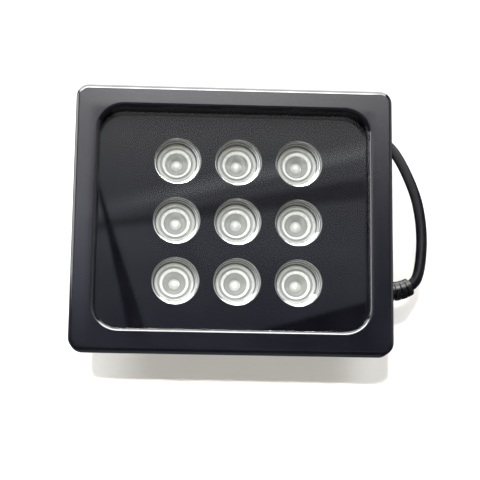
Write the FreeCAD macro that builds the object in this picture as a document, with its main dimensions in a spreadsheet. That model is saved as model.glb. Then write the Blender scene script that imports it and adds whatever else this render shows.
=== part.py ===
import FreeCAD, Part
import math
import os

import Sketcher
from FreeCAD import Placement, Rotation, Vector

# Infrared illuminator: a cast head with nine lensed emitters behind a masked glass,
# on a folded wall bracket that lets it tilt. Lengths are millimetres, angles degrees.
# +X is to the right, +Z is up, the front faces -Y, and the origin is the centre of
# the bracket's wall face. The head's own pieces are drawn from the centre of the
# bezel's front face, with +Y running back into the head.

SIZES = [
    ("bezel_width", 140.0),
    ("bezel_height", 118.0),
    ("bezel_depth", 12.0),
    ("bezel_corner", 5.5),
    ("bezel_edge_round", 1.8),
    ("opening_width", 119.4),
    ("opening_height", 98.4),
    ("opening_corner", 11.0),
    ("opening_lip_round", 1.5),
    ("glass_recess", 5.5),
    ("glass_thickness", 3.0),
    ("glass_overlap", 3.2),
    ("glass_clearance", 0.3),
    ("glass_edge_chamfer", 0.5),
    ("mask_thickness", 1.0),
    ("gasket_width", 6.6),
    ("window_radius", 10.5),
    ("lens_pitch", 27.0),
    ("grid_shift", 2.3),
    ("lens_gap", 0.5),
    ("lens_height", 11.5),
    ("lens_flange_radius", 11.2),
    ("lens_flange_thickness", 1.6),
    ("lens_foot_radius", 5.4),
    ("lens_well_radius", 4.2),
    ("lens_well_depth", 4.6),
    ("lens_dish_radius", 6.2),
    ("lens_dish_depth", 2.6),
    ("lens_dish_slope", 0.5),
    ("lens_foot_height", 0.8),
    ("lens_flange_step", 0.8),
    ("lens_flare_radius", 19.0),
    ("lens_crown", 0.8),
    ("emitter_side", 5.0),
    ("emitter_base", 1.0),
    ("emitter_dome_radius", 2.0),
    ("board_side", 80.0),
    ("board_corner", 3.0),
    ("board_thickness", 1.6),
    ("board_screw_place", 35.5),
    ("small_screw_radius", 1.5),
    ("small_head_radius", 2.75),
    ("small_head_height", 2.0),
    ("small_head_round", 0.7),
    ("small_screw_length", 6.0),
    ("recess_width", 1.0),
    ("recess_depth", 1.2),
    ("screw_clearance", 0.1),
    ("screw_end_gap", 1.0),
    ("cut_past", 1.0),
    ("root_sink", 1.0),
    ("flange_inset", 2.0),
    ("flange_thickness", 3.5),
    ("flange_corner", 4.0),
    ("housing_depth", 26.0),
    ("housing_width", 119.0),
    ("housing_height", 97.0),
    ("housing_corner", 10.0),
    ("housing_draft", 2.0),
    ("wall_thickness", 3.5),
    ("floor_thickness", 4.0),
    ("bezel_screw_edge", 6.0),
    ("bezel_screw_length", 12.0),
    ("bezel_screw_boss", 4.0),
    ("bezel_boss_height", 2.5),
    ("fin_count", 5),
    ("fin_height", 12.0),
    ("fin_thickness", 2.4),
    ("fin_edge", 5.8),
    ("fin_first", 22.5),
    ("fin_base_length", 84.0),
    ("fin_tip_length", 66.0),
    ("fin_round", 3.0),
    ("back_pad_width", 34.0),
    ("back_pad_height", 46.0),
    ("back_pad_corner", 6.0),
    ("back_pad_thickness", 3.0),
    ("lug_width", 19.0),
    ("lug_radius", 9.0),
    ("lug_root", 30.0),
    ("pivot_gap", 12.0),
    ("wall_gap", 44.0),
    ("bracket_thickness", 2.5),
    ("bracket_gap", 20.0),
    ("bracket_arm_radius", 10.5),
    ("bracket_strip_width", 16.4),
    ("bracket_height", 66.0),
    ("bracket_corner", 6.0),
    ("bracket_bend", 1.5),
    ("wall_screw_spacing", 50.0),
    ("wall_screw_radius", 2.4),
    ("bolt_radius", 3.0),
    ("bolt_running", 0.05),
    ("bolt_hole_clearance", 0.2),
    ("bolt_head_flats", 10.0),
    ("bolt_head_height", 4.0),
    ("bolt_end", 1.5),
    ("bolt_chamfer", 0.6),
    ("nut_height", 6.0),
    ("nut_collar_height", 1.8),
    ("nut_collar_radius", 4.3),
    ("washer_radius", 6.0),
    ("washer_thickness", 1.6),
    ("pad_radius", 8.0),
    ("pad_clearance", 0.05),
    ("cord_radius", 2.5),
    ("cord_first_run", 5.2),
    ("gland_depth", 26.0),
    ("gland_height", -27.3),
    ("gland_boss_radius", 7.5),
    ("gland_boss_stand", 1.0),
    ("gland_hole_radius", 4.1),
    ("relief_clearance", 0.1),
    ("relief_flange_radius", 6.2),
    ("relief_flange_thickness", 2.2),
    ("relief_lock_radius", 5.6),
    ("relief_straight", 9.6),
    ("relief_bend_radius", 15.0),
    ("relief_bend_angle", 36.0),
    ("relief_lean", 22.0),
    ("relief_tip_gap", 0.2),
    ("relief_lock_thickness", 2.1),
    ("relief_core_radius", 2.9),
    ("relief_ring_radius", 4.7),
    ("relief_ring_taper", 0.1),
    ("relief_ring_thickness", 2.1),
    ("relief_ring_pitch", 2.6),
    ("coil_mid_radius", 26.5),
    ("coil_radial", 17.4),
    ("coil_axial", 10.4),
    ("coil_round", 2.4),
    ("coil_wall_clearance", 0.3),
    ("coil_rest_clearance", 0.3),
    ("plug_radius", 5.2),
    ("plug_length", 22.0),
    ("plug_boot_length", 13.0),
    ("plug_boot_radius", 3.6),
    ("plug_boot_flare", 0.6),
    ("plug_round", 0.8),
    ("plug_bore_radius", 2.75),
    ("plug_bore_depth", 9.5),
    ("plug_sleeve_thickness", 0.4),
    ("plug_pin_radius", 1.05),
    ("plug_pin_length", 8.5),
    ("plug_contact_thickness", 0.8),
    ("plug_coil_gap", 0.3),
    ("plug_side", 28.4),
    ("tail_radius", 28.0),
    ("tail_first_angle", 105.0),
    ("tail_last_angle", 10.0),
    ("tail_drop", 9.0),
    ("tie_thickness", 1.0),
    ("tie_width", 5.0),
    ("tie_clearance", 0.3),
    ("tie_corner", 3.0),
    ("driver_wall_gap", 1.5),
    ("driver_platform_gap", 2.8),
    ("driver_height", 66.0),
    ("driver_corner", 1.5),
    ("driver_stand", 3.0),
    ("driver_post_radius", 2.6),
    ("driver_post_place", 27.0),
    ("driver_screw_length", 4.5),
    ("coil_can_radius", 5.0),
    ("coil_can_height", 6.0),
    ("coil_can_place", 13.0),
    ("capacitor_radius", 4.0),
    ("capacitor_height", 9.0),
    ("capacitor_low", -17.0),
    ("capacitor_high", -6.5),
    ("chip_width", 5.0),
    ("chip_height", 6.2),
    ("chip_thickness", 1.7),
    ("chip_corner", 0.3),
    ("chip_place", 1.8),
    ("wire_radius", 0.9),
    ("wire_spread", 1.3),
    ("wire_wall_gap", 1.5),
    ("wire_run", 5.0),
    ("wire_rise", 3.6),
]

# Where one piece ends and the next begins, as depths behind the bezel's front face.
GLASS_BACK = "(sizes.glass_recess + sizes.glass_thickness)"
MASK_BACK = f"({GLASS_BACK} + sizes.mask_thickness)"
LENS_FRONT = f"({MASK_BACK} + sizes.lens_gap)"
BOARD_FRONT = f"({LENS_FRONT} + sizes.lens_height)"
BOARD_BACK = f"({BOARD_FRONT} + sizes.board_thickness)"
FLANGE_BACK = "(sizes.bezel_depth + sizes.flange_thickness)"
HOUSING_BACK = "(sizes.bezel_depth + sizes.housing_depth)"
FLOOR = f"({HOUSING_BACK} - sizes.floor_thickness)"
FIN_TIP = f"({HOUSING_BACK} + sizes.fin_height)"
PIVOT_DEPTH = f"({FIN_TIP} + sizes.pivot_gap)"
FRONT_PLACE = f"(-(sizes.wall_gap + {PIVOT_DEPTH}))"

# Shared half sizes.
SCREW_X = "(sizes.bezel_width / 2 - sizes.bezel_screw_edge)"
SCREW_Z = "(sizes.bezel_height / 2 - sizes.bezel_screw_edge)"
POCKET_WIDTH = "(sizes.opening_width + 2 * sizes.glass_overlap)"
POCKET_HEIGHT = "(sizes.opening_height + 2 * sizes.glass_overlap)"
POCKET_CORNER = "(sizes.opening_corner + sizes.glass_overlap)"
GLASS_WIDTH = f"({POCKET_WIDTH} - 2 * sizes.glass_clearance)"
GLASS_HEIGHT = f"({POCKET_HEIGHT} - 2 * sizes.glass_clearance)"
GLASS_CORNER = f"({POCKET_CORNER} - sizes.glass_clearance)"
CAVITY_WIDTH = "(sizes.housing_width - 2 * sizes.wall_thickness)"
CAVITY_HEIGHT = "(sizes.housing_height - 2 * sizes.wall_thickness)"
CAVITY_CORNER = "(sizes.housing_corner - sizes.wall_thickness)"
SCREW_HOLE = "(sizes.small_screw_radius + sizes.screw_clearance)"
ARM_INNER = "(sizes.bracket_gap / 2)"
ARM_OUTER = "(sizes.bracket_gap / 2 + sizes.bracket_thickness)"
GLAND_FACE = "(sizes.housing_width / 2 + sizes.gland_boss_stand)"
BOARD_PLATFORM = f"({FLOOR} - {BOARD_BACK})"
PLATFORM_SIDE = "(sizes.board_side / 2 - sizes.grid_shift)"
DRIVER_WIDTH = f"({CAVITY_WIDTH} / 2 - sizes.driver_wall_gap - {PLATFORM_SIDE} - sizes.driver_platform_gap)"
DRIVER_SIDE = f"(-({PLATFORM_SIDE} + sizes.driver_platform_gap + {DRIVER_WIDTH} / 2))"
FIN_ROW = "(sizes.housing_width / 2 - sizes.fin_edge - sizes.fin_first)"
DRIVER_BACK = f"({FLOOR} - sizes.driver_stand)"
DRIVER_FRONT = f"({DRIVER_BACK} - sizes.board_thickness)"

CORNERS = [(1, 1), (-1, 1), (-1, -1), (1, -1)]

# A half circle's radius is larger by this much, so that a sketch with both its ends solves.
ARC_SLACK = "0.0001"

doc = FreeCAD.newDocument("infrared_illuminator")
sheet = doc.addObject("Spreadsheet::Sheet", "sizes")
for row, (alias, value) in enumerate(SIZES, start=1):
    sheet.set(f"A{row}", alias)
    sheet.set(f"B{row}", str(value))
    sheet.setAlias(f"B{row}", alias)
doc.recompute()

parts = []


def number(formula):
    """The present value of a formula on the sheet's sizes."""
    return float(sheet.evalExpression(formula.replace("sizes.", "")))


def in_head(piece):
    """Places a piece that is drawn from the centre of the bezel's front face."""
    piece.setExpression("Placement.Base.y", FRONT_PLACE)


def new_body(name, head=True):
    body = doc.addObject("PartDesign::Body", name)
    body.Label = name
    if head:
        in_head(body)
    parts.append(body)
    return body


def new_sketch(body, name, role="XZ_Plane", **shift):
    """A sketch on one of the body's own planes, moved by formulas for x, y and z.

    On the XZ plane the sketch's z points to the front, so a depth is given as its negative.
    """
    sketch = body.newObject("Sketcher::SketchObject", name)
    plane = next(item for item in body.Origin.OriginFeatures if item.Role == role)
    sketch.AttachmentSupport = [(plane, "")]
    sketch.MapMode = "FlatFace"
    for axis, formula in shift.items():
        sketch.setExpression(f"AttachmentOffset.Base.{axis}", formula)
    return sketch


def dimension(sketch, kind, places, formula):
    index = sketch.addConstraint(Sketcher.Constraint(kind, *places, number(formula)))
    name = f"size_{index}"
    sketch.renameConstraint(index, name)
    sketch.setExpression(f"Constraints.{name}", formula)


def place_point(sketch, point, x, y):
    """Holds a point of a sketch at the formulas x and y, whatever their sign."""
    for kind, formula, axis in (("DistanceX", x, -2), ("DistanceY", y, -1)):
        value = number(formula)
        if abs(value) < 1e-9:
            sketch.addConstraint(Sketcher.Constraint("PointOnObject", *point, axis))
        elif value > 0:
            dimension(sketch, kind, (-1, 1, *point), formula)
        else:
            dimension(sketch, kind, (*point, -1, 1), f"-({formula})")


def add_circle(sketch, x, y, radius):
    centre = Vector(number(x), number(y), 0)
    index = sketch.addGeometry(Part.Circle(centre, Vector(0, 0, 1), number(radius)))
    dimension(sketch, "Radius", (index,), radius)
    place_point(sketch, (index, 3), x, y)


def add_corner_circles(sketch, x, y, radius):
    for side, rise in CORNERS:
        add_circle(sketch, f"{side} * {x}", f"{rise} * {y}", radius)


def add_rounded_rectangle(sketch, width, height, radius):
    """A rectangle with round corners, centred on the sketch's origin."""
    across, up, round_off = number(width) / 2, number(height) / 2, number(radius)
    inner_x, inner_y = across - round_off, up - round_off
    outline = [
        Part.LineSegment(Vector(-inner_x, -up, 0), Vector(inner_x, -up, 0)),
        (inner_x, -inner_y, -90),
        Part.LineSegment(Vector(across, -inner_y, 0), Vector(across, inner_y, 0)),
        (inner_x, inner_y, 0),
        Part.LineSegment(Vector(inner_x, up, 0), Vector(-inner_x, up, 0)),
        (-inner_x, inner_y, 90),
        Part.LineSegment(Vector(-across, inner_y, 0), Vector(-across, -inner_y, 0)),
        (-inner_x, -inner_y, 180),
    ]
    first = None
    for item in outline:
        if isinstance(item, tuple):
            x, y, start = item
            circle = Part.Circle(Vector(x, y, 0), Vector(0, 0, 1), round_off)
            item = Part.ArcOfCircle(circle, math.radians(start), math.radians(start + 90))
        index = sketch.addGeometry(item)
        first = index if first is None else first
    for step in range(8):
        here, after = first + step, first + (step + 1) % 8
        sketch.addConstraint(Sketcher.Constraint("Tangent", here, 2, after, 1))
    bottom, right, top, left = first, first + 2, first + 4, first + 6
    sketch.addConstraint(Sketcher.Constraint("Horizontal", top))
    sketch.addConstraint(Sketcher.Constraint("Vertical", left))
    sketch.addConstraint(Sketcher.Constraint("Symmetric", bottom, 1, bottom, 2, -2))
    sketch.addConstraint(Sketcher.Constraint("Symmetric", right, 1, right, 2, -1))
    for arc in (3, 5, 7):
        sketch.addConstraint(Sketcher.Constraint("Equal", first + 1, first + arc))
    dimension(sketch, "Radius", (first + 1,), radius)
    dimension(sketch, "DistanceX", (left, 1, right, 1), width)
    dimension(sketch, "DistanceY", (bottom, 1, top, 1), height)


def add_profile(sketch, corners):
    """A closed outline. A corner is (x, y), or (x, y, radius) where the side that leaves it
    is an arc; a negative radius bends it to the right of the way the outline runs."""
    count = len(corners)
    values = [Vector(number(corner[0]), number(corner[1]), 0) for corner in corners]
    sides = []
    for index, corner in enumerate(corners):
        start, end = values[index], values[(index + 1) % count]
        if len(corner) == 2:
            item = sketch.addGeometry(Part.LineSegment(start, end))
            sides.append((item, 1, 2))
            continue
        bend = number(corner[2])
        middle = (start + end) * 0.5
        half = (end - start).Length / 2
        across = Vector(-(end - start).y, (end - start).x, 0).normalize()
        reach = math.sqrt(max(bend * bend - half * half, 0.0))
        centre = middle + across * (reach if bend > 0 else -reach)
        circle = Part.Circle(centre, Vector(0, 0, 1), abs(bend))
        first, last = (start, end) if bend > 0 else (end, start)
        arc = Part.ArcOfCircle(circle, circle.parameter(first), circle.parameter(last))
        item = sketch.addGeometry(arc)
        sides.append((item, 1, 2) if bend > 0 else (item, 2, 1))
        formula = corner[2] if bend > 0 else f"-({corner[2]})"
        dimension(sketch, "Radius", (item,), formula)
    for index, (item, start, end) in enumerate(sides):
        following = sides[(index + 1) % count]
        sketch.addConstraint(Sketcher.Constraint("Coincident", item, end, following[0], following[1]))
    for index, (item, start, end) in enumerate(sides):
        place_point(sketch, (item, start), corners[index][0], corners[index][1])


def extrude(body, kind, sketch, name, length, back=False, middle=False, draft=None):
    """A pad or a pocket. On the XZ plane a pad with back=True and a plain pocket both run
    to the rear."""
    feature = body.newObject(f"PartDesign::{kind}", name)
    feature.Profile = sketch
    feature.setExpression("Length", length)
    feature.Reversed = back
    if middle:
        feature.SideType = "Symmetric"
    if draft:
        feature.setExpression("TaperAngle", draft)
    sketch.Visibility = False
    return feature


def pad(body, sketch, name, length, **options):
    return extrude(body, "Pad", sketch, name, length, **options)


def pocket(body, sketch, name, length, **options):
    return extrude(body, "Pocket", sketch, name, length, **options)


def revolve(body, sketch, name, axis=None):
    feature = body.newObject("PartDesign::Revolution", name)
    feature.Profile = sketch
    if axis:
        line = next(item for item in body.Origin.OriginFeatures if item.Role == axis)
        feature.ReferenceAxis = (line, [""])
    else:
        feature.ReferenceAxis = (sketch, ["V_Axis"])
    feature.Angle = 360
    return feature


def round_edges(body, base, name, radius, chosen, kind="Fillet"):
    """Rounds or chamfers the edges of a feature that a test picks."""
    doc.recompute()
    edges = [f"Edge{place}" for place, edge in enumerate(base.Shape.Edges, start=1) if chosen(edge)]
    feature = body.newObject(f"PartDesign::{kind}", name)
    feature.Base = (base, edges)
    feature.setExpression("Size" if kind == "Chamfer" else "Radius", radius)
    return feature


def edge_at_depth(edge, depth):
    box = edge.BoundBox
    return abs(box.YMin - depth) < 1e-4 and abs(box.YMax - depth) < 1e-4


def make_front_bezel():
    """Moulded frame: a rounded lip in front, a rebate for the glass behind it and a blind
    screw hole in each rear corner."""
    body = new_body("front_bezel")
    outline = new_sketch(body, "bezel_outline")
    add_rounded_rectangle(outline, "sizes.bezel_width", "sizes.bezel_height", "sizes.bezel_corner")
    block = pad(body, outline, "bezel_block", "sizes.bezel_depth", back=True)
    front = 0.0
    round_edges(body, block, "bezel_outer_round", "sizes.bezel_edge_round",
                lambda edge: edge_at_depth(edge, front))
    opening = new_sketch(body, "bezel_opening")
    add_rounded_rectangle(opening, "sizes.opening_width", "sizes.opening_height", "sizes.opening_corner")
    opened = pocket(body, opening, "bezel_window", "sizes.bezel_depth")
    half = number("sizes.opening_width / 2 + sizes.opening_lip_round / 2")
    round_edges(body, opened, "bezel_lip_round", "sizes.opening_lip_round",
                lambda edge: edge_at_depth(edge, front) and abs(edge.BoundBox.XMax) < half
                and abs(edge.BoundBox.XMin) < half)
    rebate = new_sketch(body, "bezel_rebate", z="-sizes.glass_recess")
    add_rounded_rectangle(rebate, POCKET_WIDTH, POCKET_HEIGHT, POCKET_CORNER)
    pocket(body, rebate, "bezel_glass_rebate", "sizes.bezel_depth")
    holes = new_sketch(body, "bezel_holes", z="-sizes.bezel_depth")
    add_corner_circles(holes, SCREW_X, SCREW_Z, SCREW_HOLE)
    reach = "sizes.bezel_screw_length - sizes.flange_thickness - sizes.bezel_boss_height"
    pocket(body, holes, "bezel_screw_holes", f"{reach} + sizes.screw_end_gap", back=True)


def make_flat_layers():
    """The clear glass, the blackened window mask and the sponge gasket behind them."""
    body = new_body("front_glass")
    outline = new_sketch(body, "glass_outline", z="-sizes.glass_recess")
    add_rounded_rectangle(outline, GLASS_WIDTH, GLASS_HEIGHT, GLASS_CORNER)
    sheet_of_glass = pad(body, outline, "glass_sheet", "sizes.glass_thickness", back=True)
    front = number("sizes.glass_recess")
    back = number(GLASS_BACK)
    round_edges(body, sheet_of_glass, "glass_chamfer", "sizes.glass_edge_chamfer",
                lambda edge: edge_at_depth(edge, front) or edge_at_depth(edge, back), "Chamfer")

    body = new_body("window_mask")
    outline = new_sketch(body, "mask_outline", z=f"-{GLASS_BACK}")
    add_rounded_rectangle(outline, GLASS_WIDTH, GLASS_HEIGHT, GLASS_CORNER)
    pad(body, outline, "mask_sheet", "sizes.mask_thickness", back=True)
    windows = new_sketch(body, "mask_windows", z=f"-{GLASS_BACK}")
    for column, row in lens_cells():
        add_circle(windows, lens_x(column), lens_z(row), "sizes.window_radius")
    pocket(body, windows, "mask_window_holes", "sizes.mask_thickness + sizes.cut_past")

    body = new_body("glass_gasket")
    ring = new_sketch(body, "gasket_ring", z=f"-{MASK_BACK}")
    add_rounded_rectangle(ring, GLASS_WIDTH, GLASS_HEIGHT, GLASS_CORNER)
    band = "sizes.gasket_width"
    add_rounded_rectangle(ring, f"{GLASS_WIDTH} - 2 * {band}", f"{GLASS_HEIGHT} - 2 * {band}",
                          f"{GLASS_CORNER} - {band}")
    pad(body, ring, "gasket_sheet", f"sizes.bezel_depth - {MASK_BACK}", back=True)


def lens_cells():
    return [(column, row) for row in (1, 0, -1) for column in (-1, 0, 1)]


def lens_x(column):
    return f"(sizes.grid_shift + {column} * sizes.lens_pitch)"


def lens_z(row):
    return f"({row} * sizes.lens_pitch)"


def crown(reach):
    """The radius of a shallow dome, lens_crown high, over a circle of the given radius."""
    return f"(({reach}) * ({reach}) + sizes.lens_crown * sizes.lens_crown) / (2 * sizes.lens_crown)"


def make_lens(name, column, row):
    """Clear collimator lens: a flared cup with a thin flange in front, a dish in its face
    and a well behind for the emitter. Its foot stands on the board."""
    body = new_body(name)
    body.setExpression("Placement.Base.x", lens_x(column))
    body.setExpression("Placement.Base.z", lens_z(row))
    flange_back = f"({LENS_FRONT} + sizes.lens_flange_thickness)"
    dish_floor = f"({LENS_FRONT} + sizes.lens_dish_depth)"
    well_floor = f"({BOARD_FRONT} - sizes.lens_well_depth)"
    dish_inner = "sizes.lens_dish_radius - sizes.lens_dish_slope"
    profile = new_sketch(body, f"{name}_profile", "XY_Plane")
    add_profile(profile, [
        ("0", f"{well_floor} + sizes.lens_crown", f"-({crown('sizes.lens_well_radius')})"),
        ("sizes.lens_well_radius", well_floor),
        ("sizes.lens_well_radius", BOARD_FRONT),
        ("sizes.lens_foot_radius", BOARD_FRONT),
        ("sizes.lens_foot_radius", f"{BOARD_FRONT} - sizes.lens_foot_height", "-sizes.lens_flare_radius"),
        ("sizes.lens_flange_radius - sizes.lens_flange_step", flange_back),
        ("sizes.lens_flange_radius", flange_back),
        ("sizes.lens_flange_radius", LENS_FRONT),
        ("sizes.lens_dish_radius", LENS_FRONT),
        (dish_inner, dish_floor, f"-({crown(dish_inner)})"),
        ("0", f"{dish_floor} - sizes.lens_crown"),
    ])
    revolve(body, profile, f"{name}_turned")


def make_emitter(name, column, row):
    """Surface-mounted infrared emitter: a square base with a clear dome."""
    base = doc.addObject("Part::Box", f"{name}_base")
    base.setExpression("Length", "sizes.emitter_side")
    base.setExpression("Width", "sizes.emitter_base")
    base.setExpression("Height", "sizes.emitter_side")
    base.setExpression("Placement.Base.x", f"{lens_x(column)} - sizes.emitter_side / 2")
    base.setExpression("Placement.Base.y", f"{BOARD_FRONT} - sizes.emitter_base")
    base.setExpression("Placement.Base.z", f"{lens_z(row)} - sizes.emitter_side / 2")
    dome = doc.addObject("Part::Sphere", f"{name}_dome")
    dome.Placement.Rotation = Rotation(Vector(1, 0, 0), 90)
    dome.Angle1 = 0
    dome.setExpression("Radius", "sizes.emitter_dome_radius")
    dome.setExpression("Placement.Base.x", lens_x(column))
    dome.setExpression("Placement.Base.y", f"{BOARD_FRONT} - sizes.emitter_base")
    dome.setExpression("Placement.Base.z", lens_z(row))
    emitter = doc.addObject("Part::Fuse", name)
    emitter.Label = name
    emitter.Base = base
    emitter.Tool = dome
    in_head(emitter)
    parts.append(emitter)


def make_boards():
    """The metal-cored emitter board, the driver board and what stands on it."""
    body = new_body("led_board")
    outline = new_sketch(body, "led_board_outline", x="sizes.grid_shift", z=f"-{BOARD_FRONT}")
    add_rounded_rectangle(outline, "sizes.board_side", "sizes.board_side", "sizes.board_corner")
    pad(body, outline, "led_board_sheet", "sizes.board_thickness", back=True)
    holes = new_sketch(body, "led_board_hole_marks", x="sizes.grid_shift", z=f"-{BOARD_FRONT}")
    add_corner_circles(holes, "sizes.board_screw_place", "sizes.board_screw_place", SCREW_HOLE)
    pocket(body, holes, "led_board_holes", "sizes.board_thickness + sizes.cut_past")

    body = new_body("driver_board")
    outline = new_sketch(body, "driver_outline", x=DRIVER_SIDE, z=f"-{DRIVER_FRONT}")
    add_rounded_rectangle(outline, DRIVER_WIDTH, "sizes.driver_height", "sizes.driver_corner")
    pad(body, outline, "driver_sheet", "sizes.board_thickness", back=True)
    holes = new_sketch(body, "driver_hole_marks", x=DRIVER_SIDE, z=f"-{DRIVER_FRONT}")
    for rise in (-1, 1):
        add_circle(holes, "0", f"{rise} * sizes.driver_post_place", SCREW_HOLE)
    pocket(body, holes, "driver_holes", "sizes.board_thickness + sizes.cut_past")

    body = new_body("inductor")
    can = new_sketch(body, "inductor_outline", x=DRIVER_SIDE, y="sizes.coil_can_place",
                     z=f"-{DRIVER_FRONT}")
    add_circle(can, "0", "0", "sizes.coil_can_radius")
    pad(body, can, "inductor_can", "sizes.coil_can_height")

    body = new_body("capacitors")
    cans = new_sketch(body, "capacitor_outlines", x=DRIVER_SIDE, z=f"-{DRIVER_FRONT}")
    for place in ("sizes.capacitor_low", "sizes.capacitor_high"):
        add_circle(cans, "0", place, "sizes.capacitor_radius")
    pad(body, cans, "capacitor_cans", "sizes.capacitor_height")

    body = new_body("driver_chip")
    chip = new_sketch(body, "chip_outline", x=DRIVER_SIDE, y="sizes.chip_place",
                      z=f"-{DRIVER_FRONT}")
    add_rounded_rectangle(chip, "sizes.chip_width", "sizes.chip_height", "sizes.chip_corner")
    pad(body, chip, "chip_block", "sizes.chip_thickness")


def make_screws(name, x, y, seat, length, shift="0"):
    """Pan-head screws that enter from the front, seat at a depth and run to the rear."""
    body = new_body(name)
    shanks = new_sketch(body, f"{name}_shanks", x=shift, z=f"-{seat}")
    heads = new_sketch(body, f"{name}_heads", x=shift, z=f"-{seat}")
    recesses = new_sketch(body, f"{name}_recesses", x=shift, z=f"-({seat} - sizes.small_head_height)")
    for side, rise in CORNERS if number(x) else [(1, 1), (1, -1)]:
        place = (f"{side} * {x}", f"{rise} * {y}")
        add_circle(shanks, *place, "sizes.small_screw_radius")
        add_circle(heads, *place, "sizes.small_head_radius")
        add_circle(recesses, *place, "sizes.recess_width")
    pad(body, shanks, f"{name}_shank", length, back=True)
    headed = pad(body, heads, f"{name}_head", "sizes.small_head_height")
    top = number(f"{seat} - sizes.small_head_height")
    round_edges(body, headed, f"{name}_round", "sizes.small_head_round",
                lambda edge: edge_at_depth(edge, top))
    pocket(body, recesses, f"{name}_drive", "sizes.recess_depth")


def make_bezel_screws():
    """Pan-head screws from behind, through the housing's corners into the bezel."""
    name = "bezel_screws"
    seat = f"({FLANGE_BACK} + sizes.bezel_boss_height)"
    body = new_body(name)
    shanks = new_sketch(body, f"{name}_shanks", z=f"-{seat}")
    add_corner_circles(shanks, SCREW_X, SCREW_Z, "sizes.small_screw_radius")
    pad(body, shanks, f"{name}_shank", "sizes.bezel_screw_length")
    heads = new_sketch(body, f"{name}_heads", z=f"-{seat}")
    add_corner_circles(heads, SCREW_X, SCREW_Z, "sizes.small_head_radius")
    headed = pad(body, heads, f"{name}_head", "sizes.small_head_height", back=True)
    top = number(f"{seat} + sizes.small_head_height")
    round_edges(body, headed, f"{name}_round", "sizes.small_head_round",
                lambda edge: edge_at_depth(edge, top))
    recesses = new_sketch(body, f"{name}_recesses", z=f"-({seat} + sizes.small_head_height)")
    add_corner_circles(recesses, SCREW_X, SCREW_Z, "sizes.recess_width")
    pocket(body, recesses, f"{name}_drive", "sizes.recess_depth", back=True)


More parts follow.
